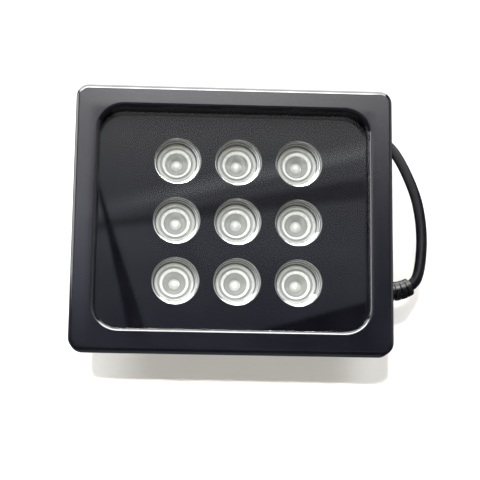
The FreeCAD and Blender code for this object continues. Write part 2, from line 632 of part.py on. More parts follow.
def make_rear_housing():
    """Cast housing: a flange with screw bosses, drafted walls, a platform for the emitter
    board, posts for the driver board, cooling fins and the lug that the bracket holds."""
    body = new_body("rear_housing")
    flange = new_sketch(body, "housing_flange", z="-sizes.bezel_depth")
    add_rounded_rectangle(flange, "sizes.bezel_width - 2 * sizes.flange_inset",
                          "sizes.bezel_height - 2 * sizes.flange_inset", "sizes.flange_corner")
    pad(body, flange, "flange_plate", "sizes.flange_thickness", back=True)
    bosses = new_sketch(body, "flange_boss_marks", z=f"-{FLANGE_BACK}")
    add_corner_circles(bosses, SCREW_X, SCREW_Z, "sizes.bezel_screw_boss")
    pad(body, bosses, "flange_bosses", "sizes.bezel_boss_height", back=True)
    walls = new_sketch(body, "housing_walls", z="-sizes.bezel_depth")
    add_rounded_rectangle(walls, "sizes.housing_width", "sizes.housing_height", "sizes.housing_corner")
    block = pad(body, walls, "housing_block", "sizes.housing_depth", back=True,
                draft="-sizes.housing_draft")
    back = number(HOUSING_BACK)
    round_edges(body, block, "housing_back_round", "sizes.fin_round",
                lambda edge: edge_at_depth(edge, back))
    gland = new_sketch(body, "gland_boss_mark", "YZ_Plane", z=GLAND_FACE)
    add_circle(gland, "sizes.gland_depth", "sizes.gland_height", "sizes.gland_boss_radius")
    pad(body, gland, "gland_boss", "sizes.wall_thickness + sizes.gland_boss_stand", back=True)
    cavity = new_sketch(body, "housing_cavity", z="-sizes.bezel_depth")
    add_rounded_rectangle(cavity, CAVITY_WIDTH, CAVITY_HEIGHT, CAVITY_CORNER)
    pocket(body, cavity, "housing_hollow", "sizes.housing_depth - sizes.floor_thickness")
    platform = new_sketch(body, "platform_outline", x="sizes.grid_shift", z=f"-{FLOOR}")
    add_rounded_rectangle(platform, "sizes.board_side", "sizes.board_side", "sizes.board_corner")
    pad(body, platform, "board_platform", BOARD_PLATFORM)
    taps = new_sketch(body, "platform_taps", x="sizes.grid_shift", z=f"-{BOARD_BACK}")
    add_corner_circles(taps, "sizes.board_screw_place", "sizes.board_screw_place", SCREW_HOLE)
    pocket(body, taps, "platform_screw_holes", "sizes.small_screw_length")
    posts = new_sketch(body, "driver_posts", x=DRIVER_SIDE, z=f"-{FLOOR}")
    post_holes = new_sketch(body, "driver_post_holes", x=DRIVER_SIDE, z=f"-{DRIVER_BACK}")
    for rise in (-1, 1):
        add_circle(posts, "0", f"{rise} * sizes.driver_post_place", "sizes.driver_post_radius")
        add_circle(post_holes, "0", f"{rise} * sizes.driver_post_place", SCREW_HOLE)
    pad(body, posts, "driver_standoffs", "sizes.driver_stand")
    pocket(body, post_holes, "driver_standoff_holes", "sizes.driver_screw_length")
    holes = new_sketch(body, "flange_hole_marks", z="-sizes.bezel_depth")
    add_corner_circles(holes, SCREW_X, SCREW_Z, SCREW_HOLE)
    pocket(body, holes, "flange_holes", "sizes.flange_thickness + sizes.bezel_boss_height + sizes.cut_past")
    hole = new_sketch(body, "gland_hole_mark", "YZ_Plane", z=GLAND_FACE)
    add_circle(hole, "sizes.gland_depth", "sizes.gland_height", "sizes.gland_hole_radius")
    pocket(body, hole, "gland_hole", "sizes.wall_thickness + sizes.gland_boss_stand + 2 * sizes.cut_past")
    for side, word in ((1, "right"), (-1, "left")):
        fins = new_sketch(body, f"fin_{word}", "YZ_Plane", z=f"{side} * sizes.fin_first")
        root = f"({HOUSING_BACK} - sizes.root_sink)"
        add_profile(fins, [
            (root, "-sizes.fin_base_length / 2"),
            (HOUSING_BACK, "-sizes.fin_base_length / 2"),
            (FIN_TIP, "-sizes.fin_tip_length / 2"),
            (FIN_TIP, "sizes.fin_tip_length / 2"),
            (HOUSING_BACK, "sizes.fin_base_length / 2"),
            (root, "sizes.fin_base_length / 2"),
        ])
        fin = pad(body, fins, f"fin_{word}_first", "sizes.fin_thickness", middle=True)
        doc.recompute()
        row = body.newObject("PartDesign::LinearPattern", f"fin_{word}_row")
        row.Originals = [fin]
        axis = next(item for item in body.Origin.OriginFeatures if item.Role == "X_Axis")
        row.Direction = (axis, [""])
        row.Reversed = side < 0
        row.setExpression("Occurrences", "sizes.fin_count")
        row.setExpression("Length", FIN_ROW)
        body.Tip = row
    back_pad = new_sketch(body, "back_pad_outline", z=f"-{HOUSING_BACK}")
    add_rounded_rectangle(back_pad, "sizes.back_pad_width", "sizes.back_pad_height",
                          "sizes.back_pad_corner")
    pad(body, back_pad, "back_pad", "sizes.back_pad_thickness", back=True)
    lug = new_sketch(body, "lug_profile", "YZ_Plane")
    root = f"({HOUSING_BACK} + sizes.back_pad_thickness - sizes.root_sink)"
    face = f"({HOUSING_BACK} + sizes.back_pad_thickness)"
    add_profile(lug, [
        (root, "-sizes.lug_root / 2"),
        (face, "-sizes.lug_root / 2"),
        (PIVOT_DEPTH, "-sizes.lug_radius", f"sizes.lug_radius + {ARC_SLACK}"),
        (PIVOT_DEPTH, "sizes.lug_radius"),
        (face, "sizes.lug_root / 2"),
        (root, "sizes.lug_root / 2"),
    ])
    pad(body, lug, "lug", "sizes.lug_width", middle=True)
    bore = new_sketch(body, "lug_bore_mark", "YZ_Plane")
    add_circle(bore, PIVOT_DEPTH, "0", "sizes.bolt_radius + sizes.bolt_running")
    pocket(body, bore, "lug_bore", "sizes.lug_width + 2 * sizes.cut_past", middle=True)


def make_bracket():
    """Folded steel bracket: a wall strip with two screw holes and two round-ended arms."""
    body = new_body("mounting_bracket", head=False)
    strip = new_sketch(body, "bracket_strip")
    add_rounded_rectangle(strip, "sizes.bracket_strip_width", "sizes.bracket_height",
                          "sizes.bracket_corner")
    pad(body, strip, "wall_strip", "sizes.bracket_thickness")
    web = new_sketch(body, "bracket_web")
    add_profile(web, [(f"{side} * {ARM_OUTER}", f"{rise} * sizes.bracket_arm_radius")
                      for side, rise in CORNERS])
    pad(body, web, "fold_web", "sizes.bracket_thickness")
    pivot = "(-sizes.wall_gap)"
    for side, word in ((1, "right"), (-1, "left")):
        arm = new_sketch(body, f"bracket_arm_{word}", "YZ_Plane", z=f"{side} * {ARM_INNER}")
        add_profile(arm, [
            ("0", "-sizes.bracket_arm_radius"),
            ("0", "sizes.bracket_arm_radius"),
            (pivot, "sizes.bracket_arm_radius", f"sizes.bracket_arm_radius + {ARC_SLACK}"),
            (pivot, "-sizes.bracket_arm_radius"),
        ])
        pad(body, arm, f"arm_{word}", "sizes.bracket_thickness", back=side < 0)
    inner, sheet_face = number(ARM_INNER), -number("sizes.bracket_thickness")
    outer = number(ARM_OUTER)

    def runs_up(edge, x, y):
        box = edge.BoundBox
        return (abs(abs(box.XMin) - x) < 1e-4 and abs(box.XMax - box.XMin) < 1e-4
                and abs(box.YMin - y) < 1e-4 and abs(box.YMax - y) < 1e-4 and box.ZLength > 1)

    bent = round_edges(body, body.Tip, "bracket_inner_bend", "sizes.bracket_bend",
                       lambda edge: runs_up(edge, inner, sheet_face))
    round_edges(body, bent, "bracket_outer_bend", "sizes.bracket_bend + sizes.bracket_thickness",
                lambda edge: runs_up(edge, outer, 0.0))
    holes = new_sketch(body, "wall_screw_marks")
    for rise in (-1, 1):
        add_circle(holes, "0", f"{rise} * sizes.wall_screw_spacing / 2", "sizes.wall_screw_radius")
    pocket(body, holes, "wall_screw_holes", "sizes.bracket_thickness + sizes.cut_past", back=True)
    bore = new_sketch(body, "bracket_bore_mark", "YZ_Plane")
    add_circle(bore, pivot, "0", "sizes.bolt_radius + sizes.bolt_hole_clearance")
    pocket(body, bore, "bracket_bore", f"2 * ({ARM_OUTER} + sizes.cut_past)", middle=True)


def turned_on_pivot(name, radius, low, high, bore=None):
    """A washer or disc on the pivot line, between two places along X."""
    body = new_body(name, head=False)
    for side, word in ((1, "right"), (-1, "left")):
        outline = new_sketch(body, f"{name}_{word}", "YZ_Plane",
                             x="-sizes.wall_gap", z=f"{side} * {low}")
        add_circle(outline, "0", "0", radius)
        if bore:
            add_circle(outline, "0", "0", bore)
        pad(body, outline, f"{name}_{word}_disc", f"{high} - {low}", back=side < 0)


def add_hexagon(sketch, flats):
    """A hexagon round the sketch's origin, from the distance across its flats."""
    reach = number(flats) / math.sqrt(3)
    corners = [Vector(reach * math.cos(math.radians(60 * turn)),
                      reach * math.sin(math.radians(60 * turn)), 0) for turn in range(6)]
    sides = [sketch.addGeometry(Part.LineSegment(corners[turn], corners[(turn + 1) % 6]))
             for turn in range(6)]
    circle = sketch.addGeometry(Part.Circle(Vector(0, 0, 0), Vector(0, 0, 1), number(flats) / 2), True)
    sketch.addConstraint(Sketcher.Constraint("Coincident", circle, 3, -1, 1))
    dimension(sketch, "Diameter", (circle,), flats)
    for turn in range(6):
        sketch.addConstraint(Sketcher.Constraint("Coincident", sides[turn], 2, sides[(turn + 1) % 6], 1))
        sketch.addConstraint(Sketcher.Constraint("Tangent", sides[turn], circle))
    for turn in range(5):
        sketch.addConstraint(Sketcher.Constraint("Equal", sides[turn], sides[turn + 1]))
    sketch.addConstraint(Sketcher.Constraint("Horizontal", sides[1]))


def make_pivot():
    """Hexagon bolt, lock nut, steel washers outside the arms and thin pads beside the lug."""
    seat = f"({ARM_OUTER} + sizes.washer_thickness)"
    body = new_body("pivot_bolt", head=False)
    shank = new_sketch(body, "bolt_shank_mark", "YZ_Plane", x="-sizes.wall_gap", z=f"-{seat}")
    add_circle(shank, "0", "0", "sizes.bolt_radius")
    shaft = pad(body, shank, "bolt_shank", f"2 * {seat} + sizes.nut_height + sizes.bolt_end")
    end = number(f"{seat} + sizes.nut_height + sizes.bolt_end")
    round_edges(body, shaft, "bolt_point", "sizes.bolt_chamfer",
                lambda edge: abs(edge.BoundBox.XMin - end) < 1e-4, "Chamfer")
    head = new_sketch(body, "bolt_head_mark", "YZ_Plane", x="-sizes.wall_gap", z=f"-{seat}")
    add_hexagon(head, "sizes.bolt_head_flats")
    pad(body, head, "bolt_head", "sizes.bolt_head_height", back=True)

    body = new_body("lock_nut", head=False)
    nut = new_sketch(body, "nut_mark", "YZ_Plane", x="-sizes.wall_gap", z=seat)
    add_hexagon(nut, "sizes.bolt_head_flats")
    pad(body, nut, "nut_block", "sizes.nut_height - sizes.nut_collar_height")
    collar = new_sketch(body, "nut_collar_mark", "YZ_Plane", x="-sizes.wall_gap", z=seat)
    add_circle(collar, "0", "0", "sizes.nut_collar_radius")
    pad(body, collar, "nut_collar", "sizes.nut_height")
    thread = new_sketch(body, "nut_thread_mark", "YZ_Plane", x="-sizes.wall_gap", z=seat)
    add_circle(thread, "0", "0", "sizes.bolt_radius + sizes.bolt_running")
    pocket(body, thread, "nut_thread", "sizes.nut_height + sizes.cut_past", back=True)

    hole = "sizes.bolt_radius + sizes.bolt_hole_clearance"
    turned_on_pivot("pivot_washers", "sizes.washer_radius", ARM_OUTER, seat, hole)
    turned_on_pivot("friction_washers", "sizes.pad_radius",
                    "(sizes.lug_width / 2 + sizes.pad_clearance)", ARM_INNER, hole)


def relief_frame(angle):
    """The centre and direction of the strain relief's bent stretch at an angle along it."""
    bend, lean = number("sizes.relief_bend_radius"), math.radians(number("sizes.relief_lean"))
    start = Vector(number(f"{GLAND_FACE} + sizes.relief_flange_thickness + sizes.relief_straight"),
                   number("sizes.gland_depth"), number("sizes.gland_height"))
    up = Vector(0, math.sin(lean), math.cos(lean))
    turn = math.radians(angle)
    centre = start + Vector(bend * math.sin(turn), 0, 0) + up * (bend * (1 - math.cos(turn)))
    ahead = Vector(math.cos(turn), 0, 0) + up * math.sin(turn)
    return centre, ahead


def make_strain_relief():
    """Moulded strain relief: a neck locked in the housing wall, a flange outside it and a
    ribbed boot that bends up with the cord."""
    names = []

    def disc(word, radius, place, ahead, length):
        item = doc.addObject("Part::Cylinder", f"relief_{word}")
        item.Radius = radius
        item.Height = length
        item.Placement = Placement(place, Rotation(Vector(0, 0, 1), ahead))
        names.append(item)

    across = Vector(1, 0, 0)
    wall = number("sizes.wall_thickness + sizes.gland_boss_stand")
    face, depth, height = number(GLAND_FACE), number("sizes.gland_depth"), number("sizes.gland_height")
    flange = number("sizes.relief_flange_thickness")
    lock_back = wall + number("sizes.relief_lock_thickness + sizes.relief_clearance")
    disc("lock", number("sizes.relief_lock_radius"), Vector(face - lock_back, depth, height), across,
         lock_back - wall - number("sizes.relief_clearance"))
    disc("neck", number("sizes.gland_hole_radius - sizes.relief_clearance"),
         Vector(face - lock_back, depth, height), across, lock_back + flange)
    disc("flange", number("sizes.relief_flange_radius"), Vector(face, depth, height), across, flange)
    straight = number("sizes.relief_straight")
    disc("root", number("sizes.relief_core_radius"), Vector(face, depth, height), across, flange + straight)
    bend, total = number("sizes.relief_bend_radius"), number("sizes.relief_bend_angle")
    core = doc.addObject("Part::Torus", "relief_core")
    core.Radius1 = bend
    core.Radius2 = number("sizes.relief_core_radius")
    core.Angle3 = total
    start, ahead = relief_frame(0)
    lean = number("sizes.relief_lean")
    tilt = Rotation(Vector(1, 0, 0), -lean).multiply(Rotation(Vector(1, 0, 0), 90))
    spin = Rotation(Vector(0, 0, 1), -90)
    hub = start + Vector(0, math.sin(math.radians(lean)), math.cos(math.radians(lean))) * bend
    core.Placement = Placement(hub, tilt.multiply(spin))
    names.append(core)
    pitch, thick = number("sizes.relief_ring_pitch"), number("sizes.relief_ring_thickness")
    reach = straight + math.radians(total) * bend - number("sizes.relief_tip_gap")
    count = int((reach - thick) / pitch) + 1
    first = reach - thick - (count - 1) * pitch
    for index in range(count):
        along = first + index * pitch
        radius = number("sizes.relief_ring_radius") - index * number("sizes.relief_ring_taper")
        if along < straight - thick / 2:
            place, ahead = Vector(face + flange + along, depth, height), across
        else:
            middle = max(along + thick / 2 - straight, 0.0)
            centre, ahead = relief_frame(math.degrees(middle / bend))
            place = centre - ahead * (thick / 2)
        disc(f"ring_{index + 1}", radius, place, ahead, thick)
    relief = doc.addObject("Part::MultiFuse", "strain_relief")
    relief.Label = "strain_relief"
    relief.Shapes = names
    in_head(relief)
    parts.append(relief)


def round_path(route):
    """Straight runs joined by tangent arcs, each taking 0.45 of the shorter of its runs."""
    edges, radii, place = [], [], route[0]
    for before, here, after in zip(route, route[1:], route[2:]):
        one, two = here - before, after - here
        trim = 0.45 * min(one.Length, two.Length)
        one.normalize()
        two.normalize()
        turn = one.getAngle(two)
        radius = trim / math.tan(turn / 2)
        radii.append(round(radius, 1))
        enter, leave = here - one * trim, here + two * trim
        peak = here + (two - one).normalize() * (radius / math.cos(turn / 2) - radius)
        edges.append(Part.LineSegment(place, enter).toShape())
        edges.append(Part.Arc(enter, peak, leave).toShape())
        place = leave
    edges.append(Part.LineSegment(place, route[-1]).toShape())
    return Part.Wire(edges), radii


def tube(name, routes, radius):
    """One round cord or wire for each route; prints what shows that the sweep is sound."""
    shapes = []
    for route in routes:
        path, radii = round_path(route)
        start = (route[1] - route[0]).normalize()
        section = Part.Wire([Part.Circle(route[0], start, radius).toShape()])
        shape = path.makePipeShell([section], True, False)
        share = shape.Volume / (math.pi * radius * radius * path.Length)
        print(f"{name}: length {path.Length:.1f}, volume share {share:.4f}, radii {radii}")
        shapes.append(shape)
    item = doc.addObject("Part::Feature", name)
    item.Label = name
    item.Shape = shapes[0] if len(shapes) == 1 else Part.Compound(shapes)
    parts.append(item)


def coil_centre():
    """The coil hangs by its inner turns on the upper corners of the bracket's arms."""
    inner = number("sizes.coil_mid_radius - sizes.coil_radial / 2")
    side = number(ARM_OUTER)
    rest = number("sizes.bracket_arm_radius + sizes.coil_rest_clearance")
    depth = -number("sizes.bracket_thickness + sizes.coil_wall_clearance + sizes.coil_axial / 2")
    return Vector(0, depth, rest - math.sqrt(inner * inner - side * side))


def make_cord():
    """The cord: out of the strain relief, up in a bow and down into a coil that hangs on
    the bracket, with the power socket tied to the coil."""
    front = Vector(0, number(FRONT_PLACE), 0)
    tip, ahead = relief_frame(number("sizes.relief_bend_angle"))
    centre = coil_centre()
    layer = number("sizes.coil_axial / 4")
    outer = number("sizes.coil_mid_radius + sizes.coil_radial / 2 - sizes.cord_radius")
    rear = centre.y + layer
    tube("power_cord", [[
        front + tip,
        front + tip + ahead * number("sizes.cord_first_run"),
        Vector(88.2, -76.2, -17.9),
        Vector(89.7, -74.0, -11.9),
        Vector(89.8, -70.6, -3.0),
        Vector(89.2, -65.8, 8.5),
        Vector(88.2, -59.8, 21.0),
        Vector(85.2, -53.3, 33.5),
        Vector(80.9, -44.7, 44.8),
        Vector(75.2, -35.0, 53.2),
        Vector(67.6, -25.0, 58.2),
        Vector(57.0, -15.5, 55.0),
        Vector(47.0, -9.5, 44.5),
        Vector(39.0, -6.0, 29.5),
        Vector(34.4, rear, 13.0),
        Vector(outer, rear, centre.z),
    ]], number("sizes.cord_radius"))

    body = new_body("cord_coil", head=False)
    body.Placement.Base = centre
    section = new_sketch(body, "coil_section", "XY_Plane", x="sizes.coil_mid_radius")
    add_rounded_rectangle(section, "sizes.coil_radial", "sizes.coil_axial", "sizes.coil_round")
    revolve(body, section, "coil_ring", "Y_Axis")

    plug_x, bend = number("sizes.plug_side"), number("sizes.tail_radius")
    plug_y = centre.y - number("sizes.coil_axial / 2 + sizes.plug_coil_gap + sizes.plug_radius")
    near = centre.y - layer
    first, last = number("sizes.tail_first_angle"), number("sizes.tail_last_angle")
    middle_x = plug_x - bend * math.cos(math.radians(last))
    start_x = middle_x + bend * math.cos(math.radians(first))
    start_z = centre.z + math.sqrt(outer * outer - start_x * start_x)
    middle_z = start_z - bend * math.sin(math.radians(first))
    route = []
    for step in range(6):
        share = step / 5
        turn = math.radians(first + (last - first) * share)
        forward = near + (plug_y - near) * share * share * (3 - 2 * share)
        route.append(Vector(middle_x + bend * math.cos(turn), forward, middle_z + bend * math.sin(turn)))
    place = route[-1] - Vector(0, 0, number("sizes.tail_drop"))
    tube("cord_tail", [route + [place]], number("sizes.cord_radius"))
    return centre, place


def make_plug(place):
    """Moulded power socket on the cord's end, its mouth down, with a metal sleeve and pin."""
    body = new_body("dc_socket", head=False)
    body.Placement.Base = place
    bottom = "(-(sizes.plug_boot_length + sizes.plug_length))"
    profile = new_sketch(body, "socket_profile")
    add_profile(profile, [
        ("0", "0"),
        ("0", f"{bottom} + sizes.plug_bore_depth"),
        ("sizes.plug_bore_radius + sizes.plug_sleeve_thickness", f"{bottom} + sizes.plug_bore_depth"),
        ("sizes.plug_bore_radius + sizes.plug_sleeve_thickness", bottom),
        ("sizes.plug_radius - sizes.plug_round", bottom),
        ("sizes.plug_radius", f"{bottom} + sizes.plug_round"),
        ("sizes.plug_radius", "-sizes.plug_boot_length - sizes.plug_round"),
        ("sizes.plug_radius - sizes.plug_round", "-sizes.plug_boot_length"),
        ("sizes.plug_boot_radius + sizes.plug_boot_flare", "-sizes.plug_boot_length"),
        ("sizes.plug_boot_radius", "0"),
    ])
    revolve(body, profile, "socket_turned")

    body = new_body("socket_contacts", head=False)
    body.Placement.Base = place
    profile = new_sketch(body, "contact_profile")
    floor = f"({bottom} + sizes.plug_bore_depth)"
    add_profile(profile, [
        ("0", floor),
        ("0", f"{floor} - sizes.plug_pin_length"),
        ("sizes.plug_pin_radius", f"{floor} - sizes.plug_pin_length"),
        ("sizes.plug_pin_radius", f"{floor} - sizes.plug_contact_thickness"),
        ("sizes.plug_bore_radius", f"{floor} - sizes.plug_contact_thickness"),
        ("sizes.plug_bore_radius", bottom),
        ("sizes.plug_bore_radius + sizes.plug_sleeve_thickness", bottom),
        ("sizes.plug_bore_radius + sizes.plug_sleeve_thickness", floor),
    ])
    revolve(body, profile, "contacts_turned")


def make_tie(centre, plug):
    """Hook-and-loop strap round the coil's turns and the socket."""
    body = new_body("cord_tie", head=False)
    low_x = number("sizes.coil_mid_radius - sizes.coil_radial / 2 - sizes.tie_clearance")
    high_x = number("sizes.coil_mid_radius + sizes.coil_radial / 2 + sizes.tie_clearance")
    back = centre.y + number("sizes.coil_axial / 2")
    front = plug.y - number("sizes.plug_boot_radius + sizes.plug_boot_flare + sizes.tie_clearance")
    body.Placement.Base = Vector((low_x + high_x) / 2, (back + front) / 2, centre.z)
    loop = new_sketch(body, "tie_loop", "XY_Plane")
    span_x = f"(sizes.coil_radial + 2 * sizes.tie_clearance)"
    over_boot = "sizes.plug_radius + sizes.plug_boot_radius + sizes.plug_boot_flare"
    span_y = f"(sizes.coil_axial + sizes.plug_coil_gap + {over_boot} + sizes.tie_clearance)"
    add_rounded_rectangle(loop, span_x, span_y, "sizes.tie_corner - sizes.tie_thickness")
    add_rounded_rectangle(loop, f"{span_x} + 2 * sizes.tie_thickness",
                          f"{span_y} + 2 * sizes.tie_thickness", "sizes.tie_corner")
    pad(body, loop, "tie_band", "sizes.tie_width", middle=True)


def make_wires():
    """Two insulated wires from the strain relief, round the lower wall of the cavity, to
    the driver board's end."""
    start = number(f"{GLAND_FACE} - sizes.wall_thickness - sizes.gland_boss_stand"
                   " - sizes.relief_lock_thickness - sizes.relief_clearance")
    depth, height = number("sizes.gland_depth"), number("sizes.gland_height")
    low = number(f"-{CAVITY_HEIGHT} / 2 + sizes.wire_wall_gap + sizes.wire_radius")
    driver, board = number(DRIVER_SIDE), number(DRIVER_FRONT)
    end = number("-sizes.driver_height / 2 + sizes.wire_wall_gap")
    run, rise = number("sizes.wire_run"), number("sizes.wire_rise")
    drop = (start + number("sizes.grid_shift + sizes.board_side / 2")) / 2
    routes = []
    for side in (-1, 1):
        spread = side * number("sizes.wire_spread")
        lane = depth + spread
        points = [
            Vector(start, lane, height),
            Vector(drop, lane, height),
            Vector(drop - rise / 2, lane, low),
            Vector(driver + 2 * run, lane, low),
            Vector(driver + spread, lane, low + rise),
            Vector(driver + spread, board - rise, end),
            Vector(driver + spread, board, end),
        ]
        routes.append([point + Vector(0, number(FRONT_PLACE), 0) for point in points])
    tube("supply_wires", routes, number("sizes.wire_radius"))


make_front_bezel()
make_flat_layers()
for place, (column, row) in enumerate(lens_cells(), start=1):
    make_lens(f"lens_{place}", column, row)
    make_emitter(f"emitter_{place}", column, row)
make_boards()
make_screws("board_screws", "sizes.board_screw_place", "sizes.board_screw_place", BOARD_FRONT,
            "sizes.small_screw_length + sizes.board_thickness - sizes.screw_end_gap",
            shift="sizes.grid_shift")
make_screws("driver_screws", "0", "sizes.driver_post_place", DRIVER_FRONT,
            "sizes.driver_screw_length + sizes.board_thickness - sizes.screw_end_gap",
            shift=DRIVER_SIDE)
make_rear_housing()
make_bezel_screws()
make_bracket()
make_pivot()
make_strain_relief()
coil_place, plug_place = make_cord()
make_plug(plug_place)
make_tie(coil_place, plug_place)
make_wires()

doc.recompute()
for item in doc.Objects:
    for state in ("Invalid", "Error"):
        if state in item.State:
            raise RuntimeError(f"{item.Name} is {state}")
for part in parts:
    if part.Shape.isNull() or not part.Shape.isValid() or not part.Shape.Solids:
        raise RuntimeError(f"{part.Label} has no valid solid")
os.makedirs("parts", exist_ok=True)
for part in parts:
    part.Shape.exportStep(os.path.join("parts", f"{part.Label}.step"))
print(f"{len(parts)} sub-parts written")
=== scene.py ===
import math

import bmesh
import bpy
from mathutils import Matrix, Vector


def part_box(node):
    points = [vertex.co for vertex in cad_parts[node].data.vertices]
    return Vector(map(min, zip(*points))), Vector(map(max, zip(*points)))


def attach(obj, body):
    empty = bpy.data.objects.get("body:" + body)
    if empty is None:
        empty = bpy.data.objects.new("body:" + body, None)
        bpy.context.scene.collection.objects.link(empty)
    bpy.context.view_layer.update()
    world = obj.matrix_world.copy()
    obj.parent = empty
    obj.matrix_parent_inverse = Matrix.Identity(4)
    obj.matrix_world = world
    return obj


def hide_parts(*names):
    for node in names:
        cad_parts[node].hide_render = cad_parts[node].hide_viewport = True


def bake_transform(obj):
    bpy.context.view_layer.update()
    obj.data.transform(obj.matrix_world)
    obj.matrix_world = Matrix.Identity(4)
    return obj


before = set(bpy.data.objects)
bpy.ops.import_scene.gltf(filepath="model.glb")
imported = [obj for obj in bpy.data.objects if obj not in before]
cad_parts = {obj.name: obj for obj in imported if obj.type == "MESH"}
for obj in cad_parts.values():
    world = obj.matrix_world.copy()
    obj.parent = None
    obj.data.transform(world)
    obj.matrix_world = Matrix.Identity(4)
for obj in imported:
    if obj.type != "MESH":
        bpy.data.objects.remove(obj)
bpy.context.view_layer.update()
scene = bpy.context.scene


# Viewing place
# The lamp is seen from about arm's length, a little below and to the left of its middle,
# and the camera is turned by a fraction of a degree.

VIEW_AZIMUTH = math.radians(-2.5)
VIEW_RISE = math.radians(-11.05)
VIEW_ROLL = math.radians(0.73)
VIEW_AIM = Vector((0.00299, -0.106, -0.01006))
VIEW_DISTANCE = 0.600
VIEW_LENS_MM = 103.69
SENSOR_MM = 36.0

ahead = Vector((-math.sin(VIEW_AZIMUTH) * math.cos(VIEW_RISE),
                math.cos(VIEW_AZIMUTH) * math.cos(VIEW_RISE), -math.sin(VIEW_RISE)))
level_right = Vector((math.cos(VIEW_AZIMUTH), math.sin(VIEW_AZIMUTH), 0.0))
level_up = level_right.cross(ahead)
right = level_right * math.cos(VIEW_ROLL) + level_up * math.sin(VIEW_ROLL)
up = level_up * math.cos(VIEW_ROLL) - level_right * math.sin(VIEW_ROLL)

camera_data = bpy.data.cameras.new("view")
camera_data.lens = VIEW_LENS_MM
camera_data.sensor_width = SENSOR_MM
camera_data.sensor_fit = "HORIZONTAL"
camera_data.clip_start = 0.01
camera_data.dof.use_dof = False
camera = bpy.data.objects.new("view", camera_data)
scene.collection.objects.link(camera)
camera.matrix_world = Matrix.Translation(VIEW_AIM - ahead * VIEW_DISTANCE) @ Matrix(
    (right, up, -ahead)).transposed().to_4x4()
scene.camera = camera


# Power lead
# Round two-core lead in soft black sheath, 5 mm thick and about 1 m long. It leaves the
# strain relief on the head's right side, bows up behind the head and is put away in a
# coil that hangs on the bracket's arms, where its last stretch carries the power socket.


class Value:
    """A shader socket in plain arithmetic."""

    def __init__(self, finish, socket):
        self.finish = finish
        self.socket = socket

    def maths(self, operation, first, second):
        return self.finish.node("ShaderNodeMath", {"operation": operation}, {0: first, 1: second})

    def __add__(self, other):
        return self.maths("ADD", self, other)

    __radd__ = __add__

    def __mul__(self, other):
        return self.maths("MULTIPLY", self, other)

    __rmul__ = __mul__

    def __sub__(self, other):
        return self.maths("SUBTRACT", self, other)

    def __rsub__(self, other):
        return self.maths("SUBTRACT", other, self)

    def __pow__(self, other):
        return self.maths("POWER", self, other)


class Finish:
    """A material whose nodes are added one by one to a Principled surface."""

    def __init__(self, name, colour, roughness, metallic=0.0, **constants):
        self.material = bpy.data.materials.new(name)
        self.material.use_nodes = True
        self.tree = self.material.node_tree
        self.surface = self.tree.nodes["Principled BSDF"]
        self.output = self.tree.nodes["Material Output"]
        self.surface.inputs["Base Color"].default_value = (*colour, 1.0)
        self.surface.inputs["Roughness"].default_value = roughness
        self.surface.inputs["Metallic"].default_value = metallic
        for socket, value in constants.items():
            self.surface.inputs[socket.replace("_", " ")].default_value = value

    def node(self, kind, settings=None, inputs=None, output=0):
        """Adds a node: settings first, then the values or links of its sockets."""
        made = self.tree.nodes.new(kind)
        for key, value in (settings or {}).items():
            if key == "stops":
                for index, (place, colour) in enumerate(value):
                    ramp = made.color_ramp.elements
                    stop = ramp[index] if index < 2 else ramp.new(place)
                    stop.position = place
                    stop.color = (*colour, 1.0)
            else:
                setattr(made, key, value)
        for key, value in (inputs or {}).items():
            if isinstance(value, Value):
                self.tree.links.new(value.socket, made.inputs[key])
            else:
                made.inputs[key].default_value = value
        return Value(self, made.outputs[output])

    def feed(self, socket, value):
        self.tree.links.new(value.socket, self.surface.inputs[socket])

    def show(self, shader):
        """Lets a shader take the place of the Principled surface."""
        self.tree.links.new(shader.socket, self.output.inputs["Surface"])

    def place(self, axis=None):
        """The point on the piece in metres, or one of its coordinates."""
        point = self.node("ShaderNodeTexCoord", output="Object")
        if axis is None:
            return point
        return self.node("ShaderNodeSeparateXYZ", inputs={0: point}, output=axis)

    def noise(self, scale, detail=3.0, roughness=0.5, stretch=(1, 1, 1), low=0.0, high=1.0):
        """Smooth noise over the piece, spread from low to high."""
        point = self.place()
        if stretch != (1, 1, 1):
            point = self.node("ShaderNodeMapping", inputs={"Vector": point, "Scale": stretch})
        noise = self.node("ShaderNodeTexNoise", inputs={
            "Vector": point, "Scale": scale, "Detail": detail, "Roughness": roughness})
        return self.spread(noise, 0.3, 0.7, low, high)

    def spread(self, value, old_low, old_high, low, high):
        """Stretches a value from one range to another, and clamps it."""
        return self.node("ShaderNodeMapRange",
                         inputs={0: value, 1: old_low, 2: old_high, 3: low, 4: high})

    def greys(self, levels, along, blue=1.0):
        """A run of greys over a value, from pairs of place and level. Blue may be held back."""
        stops = [(place, (level, level, level * blue)) for place, level in levels]
        return self.node("ShaderNodeValToRGB", {"stops": stops}, {0: along})

    def mix(self, share, first, second):
        """A colour between two colours."""
        sides = {6: first, 7: second}
        for key, value in sides.items():
            if not isinstance(value, Value):
                sides[key] = (*value, 1.0)
        return self.node("ShaderNodeMix", {"data_type": "RGBA"}, {0: share, **sides}, output=2)

    def bump(self, height, distance, strength=1.0):
        self.feed("Normal", self.node("ShaderNodeBump", inputs={
            "Strength": strength, "Distance": distance, "Height": height}))


def wear(name, finish):
    """Puts a finish on a piece or on a node of the frame."""
    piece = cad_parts.get(name) or bpy.data.objects[name]
    piece.data.materials.clear()
    piece.data.materials.append(finish.material)


